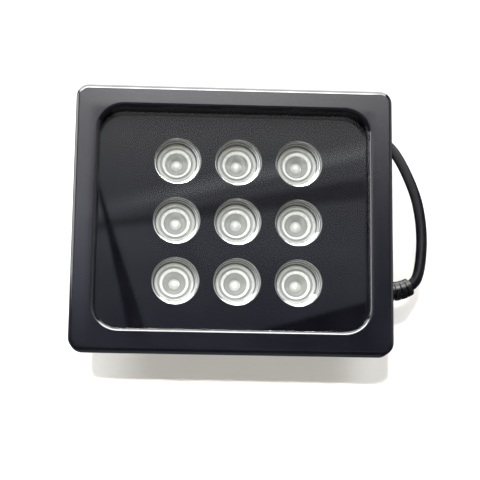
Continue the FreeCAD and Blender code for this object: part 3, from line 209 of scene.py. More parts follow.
def grained(name, dark, light, smooth_part, rough_part, grain, depth, metallic=0.0, **constants):
    """A finish with clouds of colour, uneven gloss and a fine grain; grain is per metre."""
    finish = Finish(name, dark, rough_part, metallic, **constants)
    finish.feed("Base Color", finish.mix(finish.noise(grain / 6, detail=4.0), dark, light))
    finish.feed("Roughness", finish.noise(grain / 3, low=smooth_part, high=rough_part))
    finish.bump(finish.noise(grain, detail=5.0, roughness=0.7), depth)
    return finish


LEAD_RADIUS = 0.0025
LEAD_EXIT = (0.08112, -0.07893, -0.02464)
LEAD_BOW = [
    (0.08403, -0.07814, -0.02268), (0.0861, -0.0763, -0.0179), (0.0877, -0.0735, -0.0105),
    (0.0889, -0.0699, -0.0010), (0.08915, -0.0659, 0.0086), (0.0885, -0.0610, 0.0190),
    (0.0866, -0.0558, 0.0286), (0.0832, -0.0478, 0.0412), (0.0788, -0.0385, 0.0525),
    (0.0702, -0.0265, 0.0605), (0.0575, -0.0155, 0.0565), (0.0470, -0.0095, 0.0450),
    (0.0390, -0.0060, 0.0295), (0.0344, -0.0054, 0.0130),
]
COIL_MIDDLE = Vector((0.0, -0.0080, -0.00187))
COIL_INNER_TURN = 0.0203
COIL_OUTER_TURN = 0.0327
COIL_LAYER = 0.0026
COIL_TURNS = 4 + 255 / 360
COIL_CROSSING = 0.15
COIL_STEPS = 76
SOCKET_TOP = Vector((0.0284, -0.0187, -0.0010))
TAIL_RADIUS = 0.0280
TAIL_FIRST = math.radians(105)
TAIL_LAST = math.radians(10)
TAIL_STEPS = 5
CURVE_STEPS = 8
SHEATH_STEPS = 5


def ease(share):
    """A smooth step from 0 to 1."""
    share = min(max(share, 0.0), 1.0)
    return share * share * (3 - 2 * share)


def coil_points():
    """Turns that wind inwards in the rear layer and back out in the front one."""
    spacing = COIL_TURNS * 2 * math.pi / COIL_STEPS
    for step in range(COIL_STEPS + 1):
        turns = COIL_TURNS * (step / COIL_STEPS - 0.5)
        share = abs(turns) / (COIL_TURNS / 2)
        reach = COIL_INNER_TURN + (COIL_OUTER_TURN - COIL_INNER_TURN) * share
        reach /= math.cos(spacing / 2)
        angle = -spacing * step
        side = COIL_LAYER * (1 - 2 * ease((turns + COIL_CROSSING) / (2 * COIL_CROSSING)))
        yield COIL_MIDDLE + Vector((reach * math.cos(angle), side, reach * math.sin(angle)))


def tail_points():
    """The last stretch, over the coil's face and down to the socket."""
    middle_x = SOCKET_TOP.x - TAIL_RADIUS * math.cos(TAIL_LAST)
    start_x = middle_x + TAIL_RADIUS * math.cos(TAIL_FIRST)
    start_z = COIL_MIDDLE.z + math.sqrt(COIL_OUTER_TURN ** 2 - start_x ** 2)
    middle_z = start_z - TAIL_RADIUS * math.sin(TAIL_FIRST)
    near = COIL_MIDDLE.y - COIL_LAYER
    for step in range(1, TAIL_STEPS + 1):
        share = step / TAIL_STEPS
        angle = TAIL_FIRST + (TAIL_LAST - TAIL_FIRST) * share
        yield Vector((middle_x + TAIL_RADIUS * math.cos(angle), near + (SOCKET_TOP.y - near) * ease(share),
                      middle_z + TAIL_RADIUS * math.sin(angle)))
    yield SOCKET_TOP


def nurbs_curve(name, points):
    """A smooth curve that starts at the first point and ends at the last."""
    data = bpy.data.curves.new(name, "CURVE")
    data.dimensions = "3D"
    data.resolution_u = CURVE_STEPS
    spline = data.splines.new("NURBS")
    spline.points.add(len(points) - 1)
    for target, point in zip(spline.points, points):
        target.co = (*point, 1.0)
    spline.order_u = 3
    spline.use_endpoint_u = True
    piece = bpy.data.objects.new(name, data)
    scene.collection.objects.link(piece)
    return piece


def plain_mesh(piece, name):
    """What a piece looks like with everything applied, as a new plain mesh object."""
    bpy.context.view_layer.update()
    mesh = bpy.data.meshes.new_from_object(piece.evaluated_get(bpy.context.evaluated_depsgraph_get()))
    made = bpy.data.objects.new(name, mesh)
    mesh.name = name
    scene.collection.objects.link(made)
    bpy.data.objects.remove(piece)
    return made


def smooth(piece, angle=40.0):
    """Shades a mesh smooth, apart from edges sharper than the angle."""
    piece.data.shade_smooth()
    piece.data.set_sharp_from_angle(angle=math.radians(angle))
    return piece


lead_points = [Vector(LEAD_EXIT)] + [Vector(point) for point in LEAD_BOW]
lead_points += list(coil_points()) + list(tail_points())
line = plain_mesh(nurbs_curve("lead_line", lead_points), "lead_route")
lead_path = [tuple(vertex.co) for vertex in line.data.vertices]
bpy.data.objects.remove(line)
lead_curve = nurbs_curve("lead_curve", lead_points)
lead_curve.data.bevel_depth = LEAD_RADIUS
lead_curve.data.bevel_resolution = SHEATH_STEPS
lead_curve.data.use_fill_caps = True
lead = smooth(plain_mesh(lead_curve, "power_lead"))
wear("power_lead", grained("lead_sheath", (0.002, 0.002, 0.003), (0.006, 0.006, 0.008), 0.28, 0.42, 1100.0,
                           0.00003, Specular_IOR_Level=0.05))
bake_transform(lead)
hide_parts("power_cord", "cord_coil", "cord_tail")


# Strain relief
# Ribbed boot of soft black plastic, moulded in one with its flange and the neck that is
# locked in the housing wall.

wear("strain_relief", grained("relief_rubber", (0.002, 0.002, 0.003), (0.007, 0.007, 0.008), 0.20, 0.32,
                              1500.0, 0.00003, Specular_IOR_Level=0.32))


# Front bezel
# Moulded black frame with a satin gloss. Its outer edge and the lip of its opening are
# rounded, a step behind the lip holds the glass, and four screws pull it on from behind.

bezel_low, bezel_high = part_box("front_bezel")
glass_low, glass_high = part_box("front_glass")
FRONT = bezel_low.y
BEZEL_SIZE = (bezel_high.x - bezel_low.x, bezel_high.z - bezel_low.z)
BEZEL_CORNER = 0.0055
BEZEL_ROUND = 0.0018
BEZEL_BACK_ROUND = 0.0006
OPENING_SIZE = (0.1194, 0.0984)
OPENING_CORNER = 0.0110
LIP_ROUND = 0.0015
GLASS_ROOM = 0.0003
GLASS_CORNER = 0.0142
CORNER_STEPS = 12
ROUND_STEPS = 6
BACK_ROUND_STEPS = 2
FLAT_HOLD = 0.0002


def rounded_loop(size, corner, y):
    """A rectangle with round corners, upright at one depth."""
    points = []
    for quarter, (side, rise) in enumerate(((1, 1), (-1, 1), (-1, -1), (1, -1))):
        for step in range(CORNER_STEPS + 1):
            angle = math.radians(90 * (quarter + step / CORNER_STEPS))
            points.append(Vector((side * (size[0] / 2 - corner) + corner * math.cos(angle), y,
                                  rise * (size[1] / 2 - corner) + corner * math.sin(angle))))
    return points


def grown(size, corner, amount, y):
    """The loop that lies outside another one by an amount."""
    return rounded_loop((size[0] + 2 * amount, size[1] + 2 * amount), corner + amount, y)


def outline(amount, y):
    return grown(BEZEL_SIZE, BEZEL_CORNER, amount, y)


def opening(amount, y):
    return grown(OPENING_SIZE, OPENING_CORNER, amount, y)


def quarter_steps(count):
    """Shares of a quarter round: how far across and how far along."""
    for step in range(count + 1):
        angle = math.radians(90) * step / count
        yield 1 - math.cos(angle), 1 - math.sin(angle)


def skin(mesh, rows):
    """Faces from each closed row of points to the next."""
    for row, after in zip(rows, rows[1:]):
        for index in range(len(row)):
            beside = (index + 1) % len(row)
            mesh.faces.new((row[index], row[beside], after[beside], after[index]))


def mesh_piece(name, mesh):
    """Turns worked-out geometry into an object at the origin."""
    data = bpy.data.meshes.new(name)
    mesh.to_mesh(data)
    mesh.free()
    made = bpy.data.objects.new(name, data)
    scene.collection.objects.link(made)
    return made


bezel_loops = [outline(-BEZEL_BACK_ROUND * along, bezel_high.y - BEZEL_BACK_ROUND * across)
               for across, along in quarter_steps(BACK_ROUND_STEPS)]
bezel_loops += [outline(0.0, bezel_high.y - BEZEL_BACK_ROUND - FLAT_HOLD),
                outline(0.0, FRONT + BEZEL_ROUND + FLAT_HOLD)]
bezel_loops += [outline(-BEZEL_ROUND * across, FRONT + BEZEL_ROUND * along)
                for across, along in quarter_steps(ROUND_STEPS)]
bezel_loops += [outline(-BEZEL_ROUND - FLAT_HOLD, FRONT), opening(LIP_ROUND + FLAT_HOLD, FRONT)]
bezel_loops += [opening(LIP_ROUND * along, FRONT + LIP_ROUND * across)
                for across, along in quarter_steps(ROUND_STEPS)]
bezel_loops += [opening(0.0, FRONT + LIP_ROUND + FLAT_HOLD), opening(0.0, glass_low.y)]
glass_size = (glass_high.x - glass_low.x, glass_high.z - glass_low.z)
glass_seat = (glass_size[0] + 2 * GLASS_ROOM, glass_size[1] + 2 * GLASS_ROOM)
bezel_loops += [rounded_loop(glass_seat, GLASS_CORNER, y) for y in (glass_low.y, bezel_high.y)]
frame_ring = bmesh.new()
frame_rows = [[frame_ring.verts.new(point) for point in loop] for loop in bezel_loops]
skin(frame_ring, frame_rows + frame_rows[:1])
bmesh.ops.recalc_face_normals(frame_ring, faces=frame_ring.faces)
bezel = smooth(mesh_piece("bezel_frame", frame_ring), 35)
bezel_finish = Finish("bezel_black", (0.005, 0.005, 0.006), 0.26, Coat_Weight=1.0, Coat_Roughness=0.04,
                      Specular_IOR_Level=0.12)
bezel_finish.feed("Base Color", bezel_finish.mix(bezel_finish.noise(60.0, detail=3.0),
                                                 (0.002, 0.002, 0.004), (0.004, 0.004, 0.007)))
bezel_finish.feed("Roughness", bezel_finish.noise(90.0, detail=4.0, stretch=(0.15, 1, 1),
                                                  low=0.25, high=0.28))
bezel_finish.bump(bezel_finish.noise(1500.0, detail=2.0), 0.000004, 0.5)
wear("bezel_frame", bezel_finish)
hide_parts("front_bezel")
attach(bezel, "head")


# Front glass, its black print and its gasket
# Flat toughened glass with ground edges. Close under the top lip its reflection is painted
# up to three times as strong, which lightens the lip's shade there. The print behind it is
# black but for nine round windows, and a sponge gasket presses the pane against the bezel's step.

PRINT_GAP = 0.00006
GROUND_EDGE = 0.0003
PANE_INDEX = 1.34
PANE_ROUGHNESS = 0.015
PAINTED_REFLECTION_BAND = (0.0455, 0.0485)
PAINTED_REFLECTION_GAIN = 3.0
PRINT_INDEX = 1.66

pane = Finish("clear_pane", (1.0, 1.0, 1.0), 0.02)
pane_clear = pane.node("ShaderNodeBsdfTransparent", inputs={"Color": (0.975, 0.985, 0.98, 1.0)})
pane_gloss = pane.node("ShaderNodeBsdfAnisotropic", inputs={
    "Color": (1, 1, 1, 1), "Roughness": PANE_ROUGHNESS})
pane_front = 1 - pane.node("ShaderNodeNewGeometry", output="Backfacing")
# Painted reflection: in a band under the top lip the mirror share rises up to threefold.
pane_painted_reflection = pane.spread(pane.place("Z"), *PAINTED_REFLECTION_BAND, 1.0, PAINTED_REFLECTION_GAIN)
pane_share = pane.node("ShaderNodeFresnel", inputs={"IOR": PANE_INDEX}) * pane_front * pane_painted_reflection
pane.show(pane.node("ShaderNodeMixShader", inputs={0: pane_share, 1: pane_clear, 2: pane_gloss}))

glass_back = glass_high.y - PRINT_GAP
slab = bmesh.new()
slab_rows = [[slab.verts.new(point) for point in grown(glass_size, GLASS_CORNER - GLASS_ROOM, amount, y)]
             for amount, y in ((-GROUND_EDGE, glass_low.y), (0.0, glass_low.y + GROUND_EDGE),
                               (0.0, glass_back - GROUND_EDGE), (-GROUND_EDGE, glass_back))]
slab.faces.new(slab_rows[0])
slab.faces.new(slab_rows[-1])
skin(slab, slab_rows)
bmesh.ops.recalc_face_normals(slab, faces=slab.faces)
glass_pane = mesh_piece("glass_pane", slab)
wear("glass_pane", pane)
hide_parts("front_glass")
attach(glass_pane, "head")

print_black = Finish("window_print", (0.004, 0.004, 0.006), 0.10, Specular_IOR_Level=0.0,
                     Coat_Weight=1.0, Coat_Roughness=0.015, Coat_IOR=PRINT_INDEX)
print_black.feed("Base Color", print_black.mix(print_black.noise(45.0), (0.0025, 0.0025, 0.0045),
                                               (0.006, 0.006, 0.008)))
print_black.feed("Roughness", print_black.noise(300.0, low=0.07, high=0.13))
wear("window_mask", print_black)
wear("glass_gasket", grained("gasket_sponge", (0.010, 0.010, 0.011), (0.030, 0.030, 0.030), 0.75, 0.95,
                             1800.0, 0.0002))


# Lenses
# Nine clear acrylic collimators in a square grid, each a deep cup whose wall is stepped
# and whose bottom swells over the emitter. The wall mirrors light, so it looks silvery. Its
# rings of white and grey are painted reflections and painted shade.


def turned(name, profile, sides):
    """A closed shell round the Y axis. The profile runs from pole to pole as pairs of
    radius and depth, and the UV map holds the turn and the place along the profile."""
    mesh = bmesh.new()
    uv = mesh.loops.layers.uv.new("UVMap")
    lengths = [0.0]
    for (radius, depth), (before, level) in zip(profile[1:], profile):
        lengths.append(lengths[-1] + math.hypot(radius - before, depth - level))
    turns = [2 * math.pi * side / sides for side in range(sides)]
    rows = []
    for radius, depth in profile:
        if radius == 0:
            rows.append([mesh.verts.new((0, depth, 0))] * sides)
        else:
            rows.append([mesh.verts.new((radius * math.cos(turn), depth, radius * math.sin(turn)))
                         for turn in turns])
    for row, (near, far) in enumerate(zip(rows, rows[1:])):
        for side in range(sides):
            beside = (side + 1) % sides
            kept = {}
            for point, turn, level in ((near[side], side, row), (near[beside], side + 1, row),
                                       (far[beside], side + 1, row + 1), (far[side], side, row + 1)):
                kept.setdefault(point, (turn / sides, lengths[level] / lengths[-1]))
            face = mesh.faces.new(list(kept))
            for loop, place in zip(face.loops, kept.values()):
                loop[uv].uv = place
    bmesh.ops.recalc_face_normals(mesh, faces=mesh.faces)
    return mesh_piece(name, mesh), [length / lengths[-1] for length in lengths]


class Arrangement:
    """A Geometry Nodes tree that is filled node by node and run once."""

    KINDS = {int: "NodeSocketInt", float: "NodeSocketFloat", bpy.types.Object: "NodeSocketObject",
             bpy.types.Material: "NodeSocketMaterial"}

    def __init__(self, name, **inputs):
        self.tree = bpy.data.node_groups.new(name, "GeometryNodeTree")
        self.inputs = inputs
        for label, value in inputs.items():
            self.tree.interface.new_socket(label, in_out="INPUT", socket_type=self.KINDS[type(value)])
        self.tree.interface.new_socket("Geometry", in_out="OUTPUT", socket_type="NodeSocketGeometry")
        self.start = self.tree.nodes.new("NodeGroupInput")

    def size(self, label):
        return self.start.outputs[label]

    def node(self, kind, settings=None, inputs=None, output=0):
        """Adds a node: settings first, then the values or links of its sockets."""
        made = self.tree.nodes.new(kind)
        for key, value in (settings or {}).items():
            setattr(made, key, value)
        for key, value in (inputs or {}).items():
            if isinstance(value, bpy.types.NodeSocket):
                self.tree.links.new(value, made.inputs[key])
            else:
                made.inputs[key].default_value = value
        return made.outputs[output]

    def grid(self, columns, rows, width, height, place):
        """Points of an upright grid round a place, facing the front."""
        flat = self.node("GeometryNodeMeshGrid", inputs={
            "Size X": width, "Size Y": height, "Vertices X": columns, "Vertices Y": rows})
        return self.node("GeometryNodeTransform", inputs={
            "Geometry": flat, "Rotation": (math.radians(90), 0, 0), "Translation": place})

    def chance(self, most):
        """A number of its own for each point, from 0 to the most."""
        return self.node("FunctionNodeRandomValue", {"data_type": "FLOAT"}, {
            "Min": 0.0, "Max": most, "Seed": self.size("Seed")}, output=1)

    def copies(self, points, part, turn):
        """A copy of an object at each point, turned about the front-to-back axis."""
        info = self.node("GeometryNodeObjectInfo", inputs={"Object": part}, output="Geometry")
        spin = self.node("ShaderNodeCombineXYZ", inputs={"Y": turn})
        return self.node("GeometryNodeInstanceOnPoints", inputs={
            "Points": points, "Instance": info, "Rotation": spin})

    def finish(self, name, geometry, material):
        """Runs the tree, and gives its result as a plain mesh object."""
        whole = self.node("GeometryNodeRealizeInstances", inputs={"Geometry": geometry})
        worn = self.node("GeometryNodeSetMaterial", inputs={"Geometry": whole, "Material": material})
        end = self.tree.nodes.new("NodeGroupOutput")
        self.tree.links.new(worn, end.inputs[0])
        carrier = bpy.data.objects.new("carrier", bpy.data.meshes.new("carrier"))
        scene.collection.objects.link(carrier)
        modifier = carrier.modifiers.new(name, "NODES")
        modifier.node_group = self.tree
        for item in self.tree.interface.items_tree:
            if item.in_out == "INPUT":
                modifier[item.identifier] = self.inputs[item.name]
        return plain_mesh(carrier, name)


first_low, first_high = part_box("lens_1")
second_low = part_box("lens_2")[0]
LENS_RADIUS = (first_high.x - first_low.x) / 2
LENS_PITCH = second_low.x - first_low.x
LENS_MIDDLE_X = second_low.x + LENS_RADIUS
LENS_SHIFT = -0.0006
LENS_SIDES = 72
CUP_MOUTH = 0.0105
CUP_FLOOR = 0.0087
CUP_DEPTH = 0.0042
CUP_STEPS = 3
STEP_LEDGE = 0.00034
LEDGE_TILT = 1 / 8
BOWL_START = 0.0026
BOWL_END = 0.0051

lens_dome = [(0.0, 0.0078), (0.0007, 0.0079), (0.0014, 0.0083), (0.0019, 0.0089), (0.0022, 0.0095)]
lens_bowl = [(BOWL_START, 0.0098), (0.0034, 0.0092), (0.0042, 0.0082), (0.0048, 0.0070), (BOWL_END, 0.0062)]
lens_collar = [(0.0052, 0.0058), (0.0055, 0.0053), (0.0060, 0.0048), (0.0064, 0.0046), (0.0065, 0.0050),
               (0.0069, 0.0052), (0.0073, 0.0050), (0.0075, 0.0045), (0.0080, 0.0042), (0.0085, 0.0044)]
step_reaches = [CUP_FLOOR + (CUP_MOUTH - CUP_FLOOR) * step / CUP_STEPS for step in range(CUP_STEPS)]
lens_wall = []
for step, reach in enumerate(step_reaches):
    ledge_depth = CUP_DEPTH * (1 - step / CUP_STEPS)
    lens_wall += [(reach, ledge_depth), (reach + STEP_LEDGE, ledge_depth - STEP_LEDGE * LEDGE_TILT)]
lens_rim = [(CUP_MOUTH, 0.0002), (CUP_MOUTH + 0.0001, 0.0), (LENS_RADIUS - 0.0002, 0.0),
            (LENS_RADIUS, 0.0002), (LENS_RADIUS, 0.0016), (LENS_RADIUS - 0.0008, 0.0016)]
lens_back = [(0.0085, 0.0066), (0.0060, 0.0102), (0.0054, 0.0107), (0.0054, 0.0115), (0.0042, 0.0115),
             (0.0042, 0.0104), (0.0026, 0.0104), (0.0021, 0.0096), (0.0012, 0.0087), (0.0, 0.0083)]
lens_profile = lens_dome + lens_bowl + lens_collar + lens_wall + lens_rim + lens_back
lens_pattern, lens_places = turned("lens_pattern", lens_profile, LENS_SIDES)
smooth(lens_pattern, 50)


def profile_place(radius):
    """Where the front of the lens reaches a radius, as a share of its profile."""
    return next(place for place, (reach, _) in zip(lens_places, lens_profile) if reach >= radius)


STREAKS_ROUND = 26.0
STREAKS_ALONG = 5.0
# Painted reflections and shade: bright centre over the emitter, dark bowl, bright collar ring, dark wall
# foot.
PAINTED_RING_TONES = [(0.0, 0.64), (0.0020, 0.58), (BOWL_START, 0.26), (BOWL_END, 0.34), (0.0052, 0.92),
              (0.0060, 0.88), (0.0065, 0.26), (0.0073, 0.28), (0.0075, 0.60), (0.0085, 0.50),
              (CUP_FLOOR, 0.14)]
# The ledges are painted bright and the risers between them painted dark, as light and shade.
RISER_PAINTED_SHADE = 0.10
LEDGE_PAINTED_HIGHLIGHT = 0.66
MOUTH_TONE = 0.30
LEDGE_EDGE = 0.001
BOWL_MIRROR = 0.08
RING_MIRROR = 0.1
WALL_MIRROR = 0.60
MIRROR_EDGE = 0.005

acrylic = Finish("clear_acrylic", (0.8, 0.8, 0.78), 0.12, Coat_Weight=0.6, Coat_Roughness=0.03,
                 Specular_IOR_Level=0.6)
around = acrylic.node("ShaderNodeUVMap", {"uv_map": "UVMap"})
along = acrylic.node("ShaderNodeSeparateXYZ", inputs={0: around}, output="Y")
turn_place = acrylic.node("ShaderNodeSeparateXYZ", inputs={0: around}, output="X")
painted_rings = [(profile_place(radius), tone) for radius, tone in PAINTED_RING_TONES]
for reach in step_reaches[1:]:
    ledge_start = profile_place(reach)
    ledge_end = profile_place(reach + STEP_LEDGE)
    painted_rings += [(ledge_start - LEDGE_EDGE, RISER_PAINTED_SHADE), (ledge_start, LEDGE_PAINTED_HIGHLIGHT), (ledge_end, LEDGE_PAINTED_HIGHLIGHT),
              (ledge_end + LEDGE_EDGE, RISER_PAINTED_SHADE)]
painted_rings.append((profile_place(CUP_MOUTH), MOUTH_TONE))
# Radial streaks of painted shade darken the painted rings.
streak_place = acrylic.node("ShaderNodeCombineXYZ", inputs={0: turn_place * STREAKS_ROUND,
                                                            1: along * STREAKS_ALONG})
streaks = acrylic.node("ShaderNodeTexNoise", inputs={"Vector": streak_place, "Scale": 1.0, "Detail": 3.0})
shade = acrylic.spread(streaks, 0.35, 0.65, 0.0, 0.25)
acrylic.feed("Base Color", acrylic.mix(shade, acrylic.greys(painted_rings, along, blue=0.975), (0.30, 0.30, 0.29)))
acrylic.feed("Roughness", acrylic.spread(streaks, 0.3, 0.7, 0.10, 0.24))
wall_start, wall_end = profile_place(CUP_FLOOR), profile_place(CUP_MOUTH)
bowl_start, bowl_end = profile_place(BOWL_START), profile_place(BOWL_END)
acrylic.feed("Metallic", acrylic.greys([
    (0.0, 0.0), (bowl_start, BOWL_MIRROR), (bowl_end, BOWL_MIRROR), (bowl_end + 2 * MIRROR_EDGE, RING_MIRROR),
    (wall_start - MIRROR_EDGE, RING_MIRROR), (wall_start, WALL_MIRROR), (wall_end, WALL_MIRROR),
    (wall_end + MIRROR_EDGE, 0.0)], along))

lens_rows = Arrangement("lens_grid", Lens=lens_pattern, Pitch=LENS_PITCH, Columns=3, Rows=3, Seed=7,
                        Finish=acrylic.material)
lens_span = lens_rows.node("ShaderNodeMath", {"operation": "MULTIPLY"},
                           {0: lens_rows.size("Pitch"), 1: 2.0})
lens_points = lens_rows.grid(lens_rows.size("Columns"), lens_rows.size("Rows"), lens_span, lens_span,
                             (LENS_MIDDLE_X + LENS_SHIFT, first_low.y, 0.0))
lens_copies = lens_rows.copies(lens_points, lens_rows.size("Lens"), lens_rows.chance(2 * math.pi))
lenses = lens_rows.finish("lens_set", lens_copies, lens_rows.size("Finish"))
bpy.data.objects.remove(lens_pattern)
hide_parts(*[f"lens_{place}" for place in range(1, 10)])
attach(lenses, "head")


# Emitters and their board
# Square ceramic emitters with a clear silicone dome, soldered to a metal-cored board
# whose white lacquer faces the lenses. Small steel screws hold it to the housing.

silicone = grained("emitter_silicone", (0.62, 0.60, 0.44), (0.80, 0.78, 0.62), 0.10, 0.25, 2400.0, 0.00002)
for place in range(1, 10):
    wear(f"emitter_{place}", silicone)
wear("led_board", grained("board_lacquer", (0.70, 0.71, 0.70), (0.82, 0.82, 0.81), 0.30, 0.45, 900.0,
                          0.00002))
small_steel = grained("small_steel", (0.42, 0.42, 0.41), (0.60, 0.60, 0.58), 0.25, 0.42, 1500.0, 0.00002,
                      metallic=1.0)
wear("board_screws", small_steel)


# Driver board and supply wires
# Green circuit board with a ferrite inductor, two can capacitors and a resin-cased chip.
# Two strands of sleeved wire run from it to the emitters' board and to the lead.

wear("driver_board", grained("driver_lacquer", (0.010, 0.085, 0.030), (0.020, 0.130, 0.050), 0.28, 0.42,
                             1200.0, 0.00004))
wear("inductor", grained("inductor_ferrite", (0.020, 0.020, 0.021), (0.045, 0.045, 0.046), 0.55, 0.75,
                         1500.0, 0.00005))
wear("capacitors", grained("capacitor_can", (0.55, 0.56, 0.58), (0.70, 0.71, 0.72), 0.22, 0.38, 1500.0,
                           0.00002, metallic=1.0))
wear("driver_chip", grained("chip_resin", (0.012, 0.012, 0.013), (0.028, 0.028, 0.029), 0.50, 0.70, 3000.0,
                            0.00003))
wear("supply_wires", grained("wire_sleeve", (0.25, 0.012, 0.010), (0.34, 0.020, 0.016), 0.35, 0.50, 1500.0,
                             0.00003))
wear("driver_screws", small_steel)


# Rear housing
# Aluminium casting with a draft, a flange for the bezel, cooling fins and two lugs for
# the pivot, coated in fine-textured black powder.

wear("rear_housing", grained("cast_coat", (0.010, 0.010, 0.011), (0.022, 0.022, 0.023), 0.38, 0.55, 2600.0,
                             0.00008))


# Bezel screws
# Four zinc-plated pan-head screws with a cross recess, driven from behind through the
# housing's flange into the bezel.

screws_low, screws_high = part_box("bezel_screws")
SCREW_HEAD = 0.00275
SCREW_HEAD_HEIGHT = 0.0020
SCREW_SHANK = 0.0015
SCREW_SIDES = 32
RECESS_HALF = 0.0005
RECESS_REACH = 0.0016
RECESS_DEPTH = 0.0012
screw_length = screws_high.y - screws_low.y
head_seat = screw_length - SCREW_HEAD_HEIGHT
screw_profile = [(0.0, 0.0), (SCREW_SHANK - 0.0004, 0.0), (SCREW_SHANK, 0.0004), (SCREW_SHANK, head_seat),
                 (SCREW_HEAD, head_seat), (SCREW_HEAD, head_seat + 0.0008), (0.0026, head_seat + 0.0013),
                 (0.0022, head_seat + 0.0017), (0.0015, screw_length - 0.0001), (0.0, screw_length)]
screw_pattern, _ = turned("screw_pattern", screw_profile, SCREW_SIDES)
cross = bmesh.new()
for across, rise in ((RECESS_REACH, RECESS_HALF), (RECESS_HALF, RECESS_REACH)):
    made = bmesh.ops.create_cube(cross, size=2.0)
    bmesh.ops.scale(cross, vec=(across, RECESS_DEPTH, rise), verts=made["verts"])
    bmesh.ops.translate(cross, vec=(0, screw_length, 0), verts=made["verts"])
cross_cutter = mesh_piece("cross_cutter", cross)
cut = screw_pattern.modifiers.new("recess", "BOOLEAN")
cut.operation = "DIFFERENCE"
cut.use_self = True
cut.object = cross_cutter
screw_cut = smooth(plain_mesh(screw_pattern, "screw_cut"), 35)
bpy.data.objects.remove(cross_cutter)
zinc = grained("zinc_plate", (0.48, 0.48, 0.47), (0.64, 0.64, 0.62), 0.24, 0.40, 1500.0, 0.00002,
               metallic=1.0)
corners = Arrangement("screw_corners", Screw=screw_cut, Width=screws_high.x - screws_low.x - 2 * SCREW_HEAD,
                      Height=screws_high.z - screws_low.z - 2 * SCREW_HEAD, Seed=3, Finish=zinc.material)
corner_points = corners.grid(2, 2, corners.size("Width"), corners.size("Height"), (0.0, screws_low.y, 0.0))
corner_copies = corners.copies(corner_points, corners.size("Screw"), corners.chance(math.pi))
screws = corners.finish("bezel_screw_set", corner_copies, corners.size("Finish"))
bpy.data.objects.remove(screw_cut)
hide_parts("bezel_screws")
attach(screws, "head")


# Wall bracket and pivot
# One strip of steel folded to a U and coated black. A bolt runs through its arms and the
# housing's lugs, with a lock nut, plain washers and nylon friction washers.

wear("mounting_bracket", grained("bracket_coat", (0.010, 0.010, 0.011), (0.020, 0.020, 0.021), 0.32, 0.48,
                                 1800.0, 0.00005))
for name in ("pivot_bolt", "lock_nut", "pivot_washers"):
    wear(name, zinc)
wear("friction_washers", grained("washer_nylon", (0.55, 0.54, 0.50), (0.68, 0.67, 0.63), 0.35, 0.50, 1200.0,
                                 0.00003))


# Power socket and tie
# Moulded black socket on the lead's end with a sprung metal sleeve and pin, held to the
# coil by a woven tie.

wear("dc_socket", grained("socket_black", (0.008, 0.008, 0.009), (0.018, 0.018, 0.019), 0.22, 0.34, 900.0,
                          0.00002))
wear("socket_contacts", grained("contact_plate", (0.60, 0.58, 0.52), (0.74, 0.72, 0.66), 0.18, 0.30, 2000.0,
                                0.00001, metallic=1.0))
woven = Finish("woven_tie", (0.015, 0.015, 0.016), 0.85)
warp, weft = [woven.node("ShaderNodeTexWave", {"bands_direction": axis}, {
    "Vector": woven.place(), "Scale": 420.0, "Distortion": 1.5}) for axis in "ZX"]
weave = warp * weft
woven.feed("Base Color", woven.mix(weave, (0.008, 0.008, 0.009), (0.030, 0.030, 0.032)))
woven.bump(weave, 0.0002)
wear("cord_tie", woven)


# Backdrop and floor
# A white wall behind the lamp carries its soft shadow and isn't seen from behind, and the
# floor is pale. Both are matt, and the glossy pieces mirror the cards instead.

FLOOR_HEIGHT = -0.30
FLOOR_HALF = 3.0
WALL_PLACE = 0.0006
WALL_HALF = 1.2
WALL_TOP = 1.2


def sheet(name, low, high):
    """A flat rectangle of the stage between its lowest and its highest corner."""
    wide, tall = [axis for axis in range(3) if low[axis] != high[axis]]
    corners = []
    for across, rise in ((low, low), (high, low), (high, high), (low, high)):
        corner = list(low)
        corner[wide] = across[wide]
        corner[tall] = rise[tall]
        corners.append(corner)
    mesh = bpy.data.meshes.new(name)
    mesh.from_pydata(corners, [], [(0, 1, 2, 3)])
    made = bpy.data.objects.new(name, mesh)
    scene.collection.objects.link(made)
    return made


def stage_paint(name, colour, glow, one_sided=False):
    """Matt paint that shows some of its own white to the camera, and may vanish from behind."""
    finish = Finish(name, colour, 0.9, Specular_IOR_Level=0.0)
    paint = Value(finish, finish.surface.outputs[0])
    seen = finish.node("ShaderNodeLightPath", output="Is Camera Ray")
    glow_light = finish.node("ShaderNodeEmission", inputs={
        "Color": (1.0, 0.995, 0.985, 1.0), "Strength": glow})
    both = finish.node("ShaderNodeAddShader", inputs={0: glow_light, 1: paint})
    shown = finish.node("ShaderNodeMixShader", inputs={0: seen, 1: paint, 2: both})
    if one_sided:
        behind = finish.node("ShaderNodeNewGeometry", output="Backfacing")
        clear = finish.node("ShaderNodeBsdfTransparent")
        shown = finish.node("ShaderNodeMixShader", inputs={0: behind, 1: shown, 2: clear})
    finish.show(shown)
    return finish


floor = sheet("floor", (-FLOOR_HALF, -FLOOR_HALF, FLOOR_HEIGHT), (FLOOR_HALF, FLOOR_HALF, FLOOR_HEIGHT))
wall = sheet("wall", (-WALL_HALF, WALL_PLACE, FLOOR_HEIGHT), (WALL_HALF, WALL_PLACE, WALL_TOP))
wear("floor", stage_paint("floor_paint", (0.66, 0.64, 0.60), 0.38))
wear("wall", stage_paint("wall_paint", (0.90, 0.89, 0.87), 0.05, one_sided=True))
wall.visible_shadow = False
floor.visible_glossy = False
wall.visible_glossy = False


# Mirror cards
# Flat cards that are seen in reflections only. Five are plain: two overhead, one on each
# side and one low in front. The bezel and the pane mirror the sixth, which stands in
# front and carries pale and dark patches.


def mirror_card(name, low, high):
    """A sheet that only the glossy faces of other pieces see."""
    card = sheet(name, low, high)
    for kind in ("camera", "diffuse", "transmission", "volume_scatter", "shadow"):
        setattr(card, f"visible_{kind}", False)


def glow_only(finish, colour, strength):
    """Makes a card shine, without lighting anything by itself."""
    finish.show(finish.node("ShaderNodeEmission", inputs={"Color": colour, "Strength": strength}))
    finish.material.cycles.emission_sampling = "NONE"
    return finish


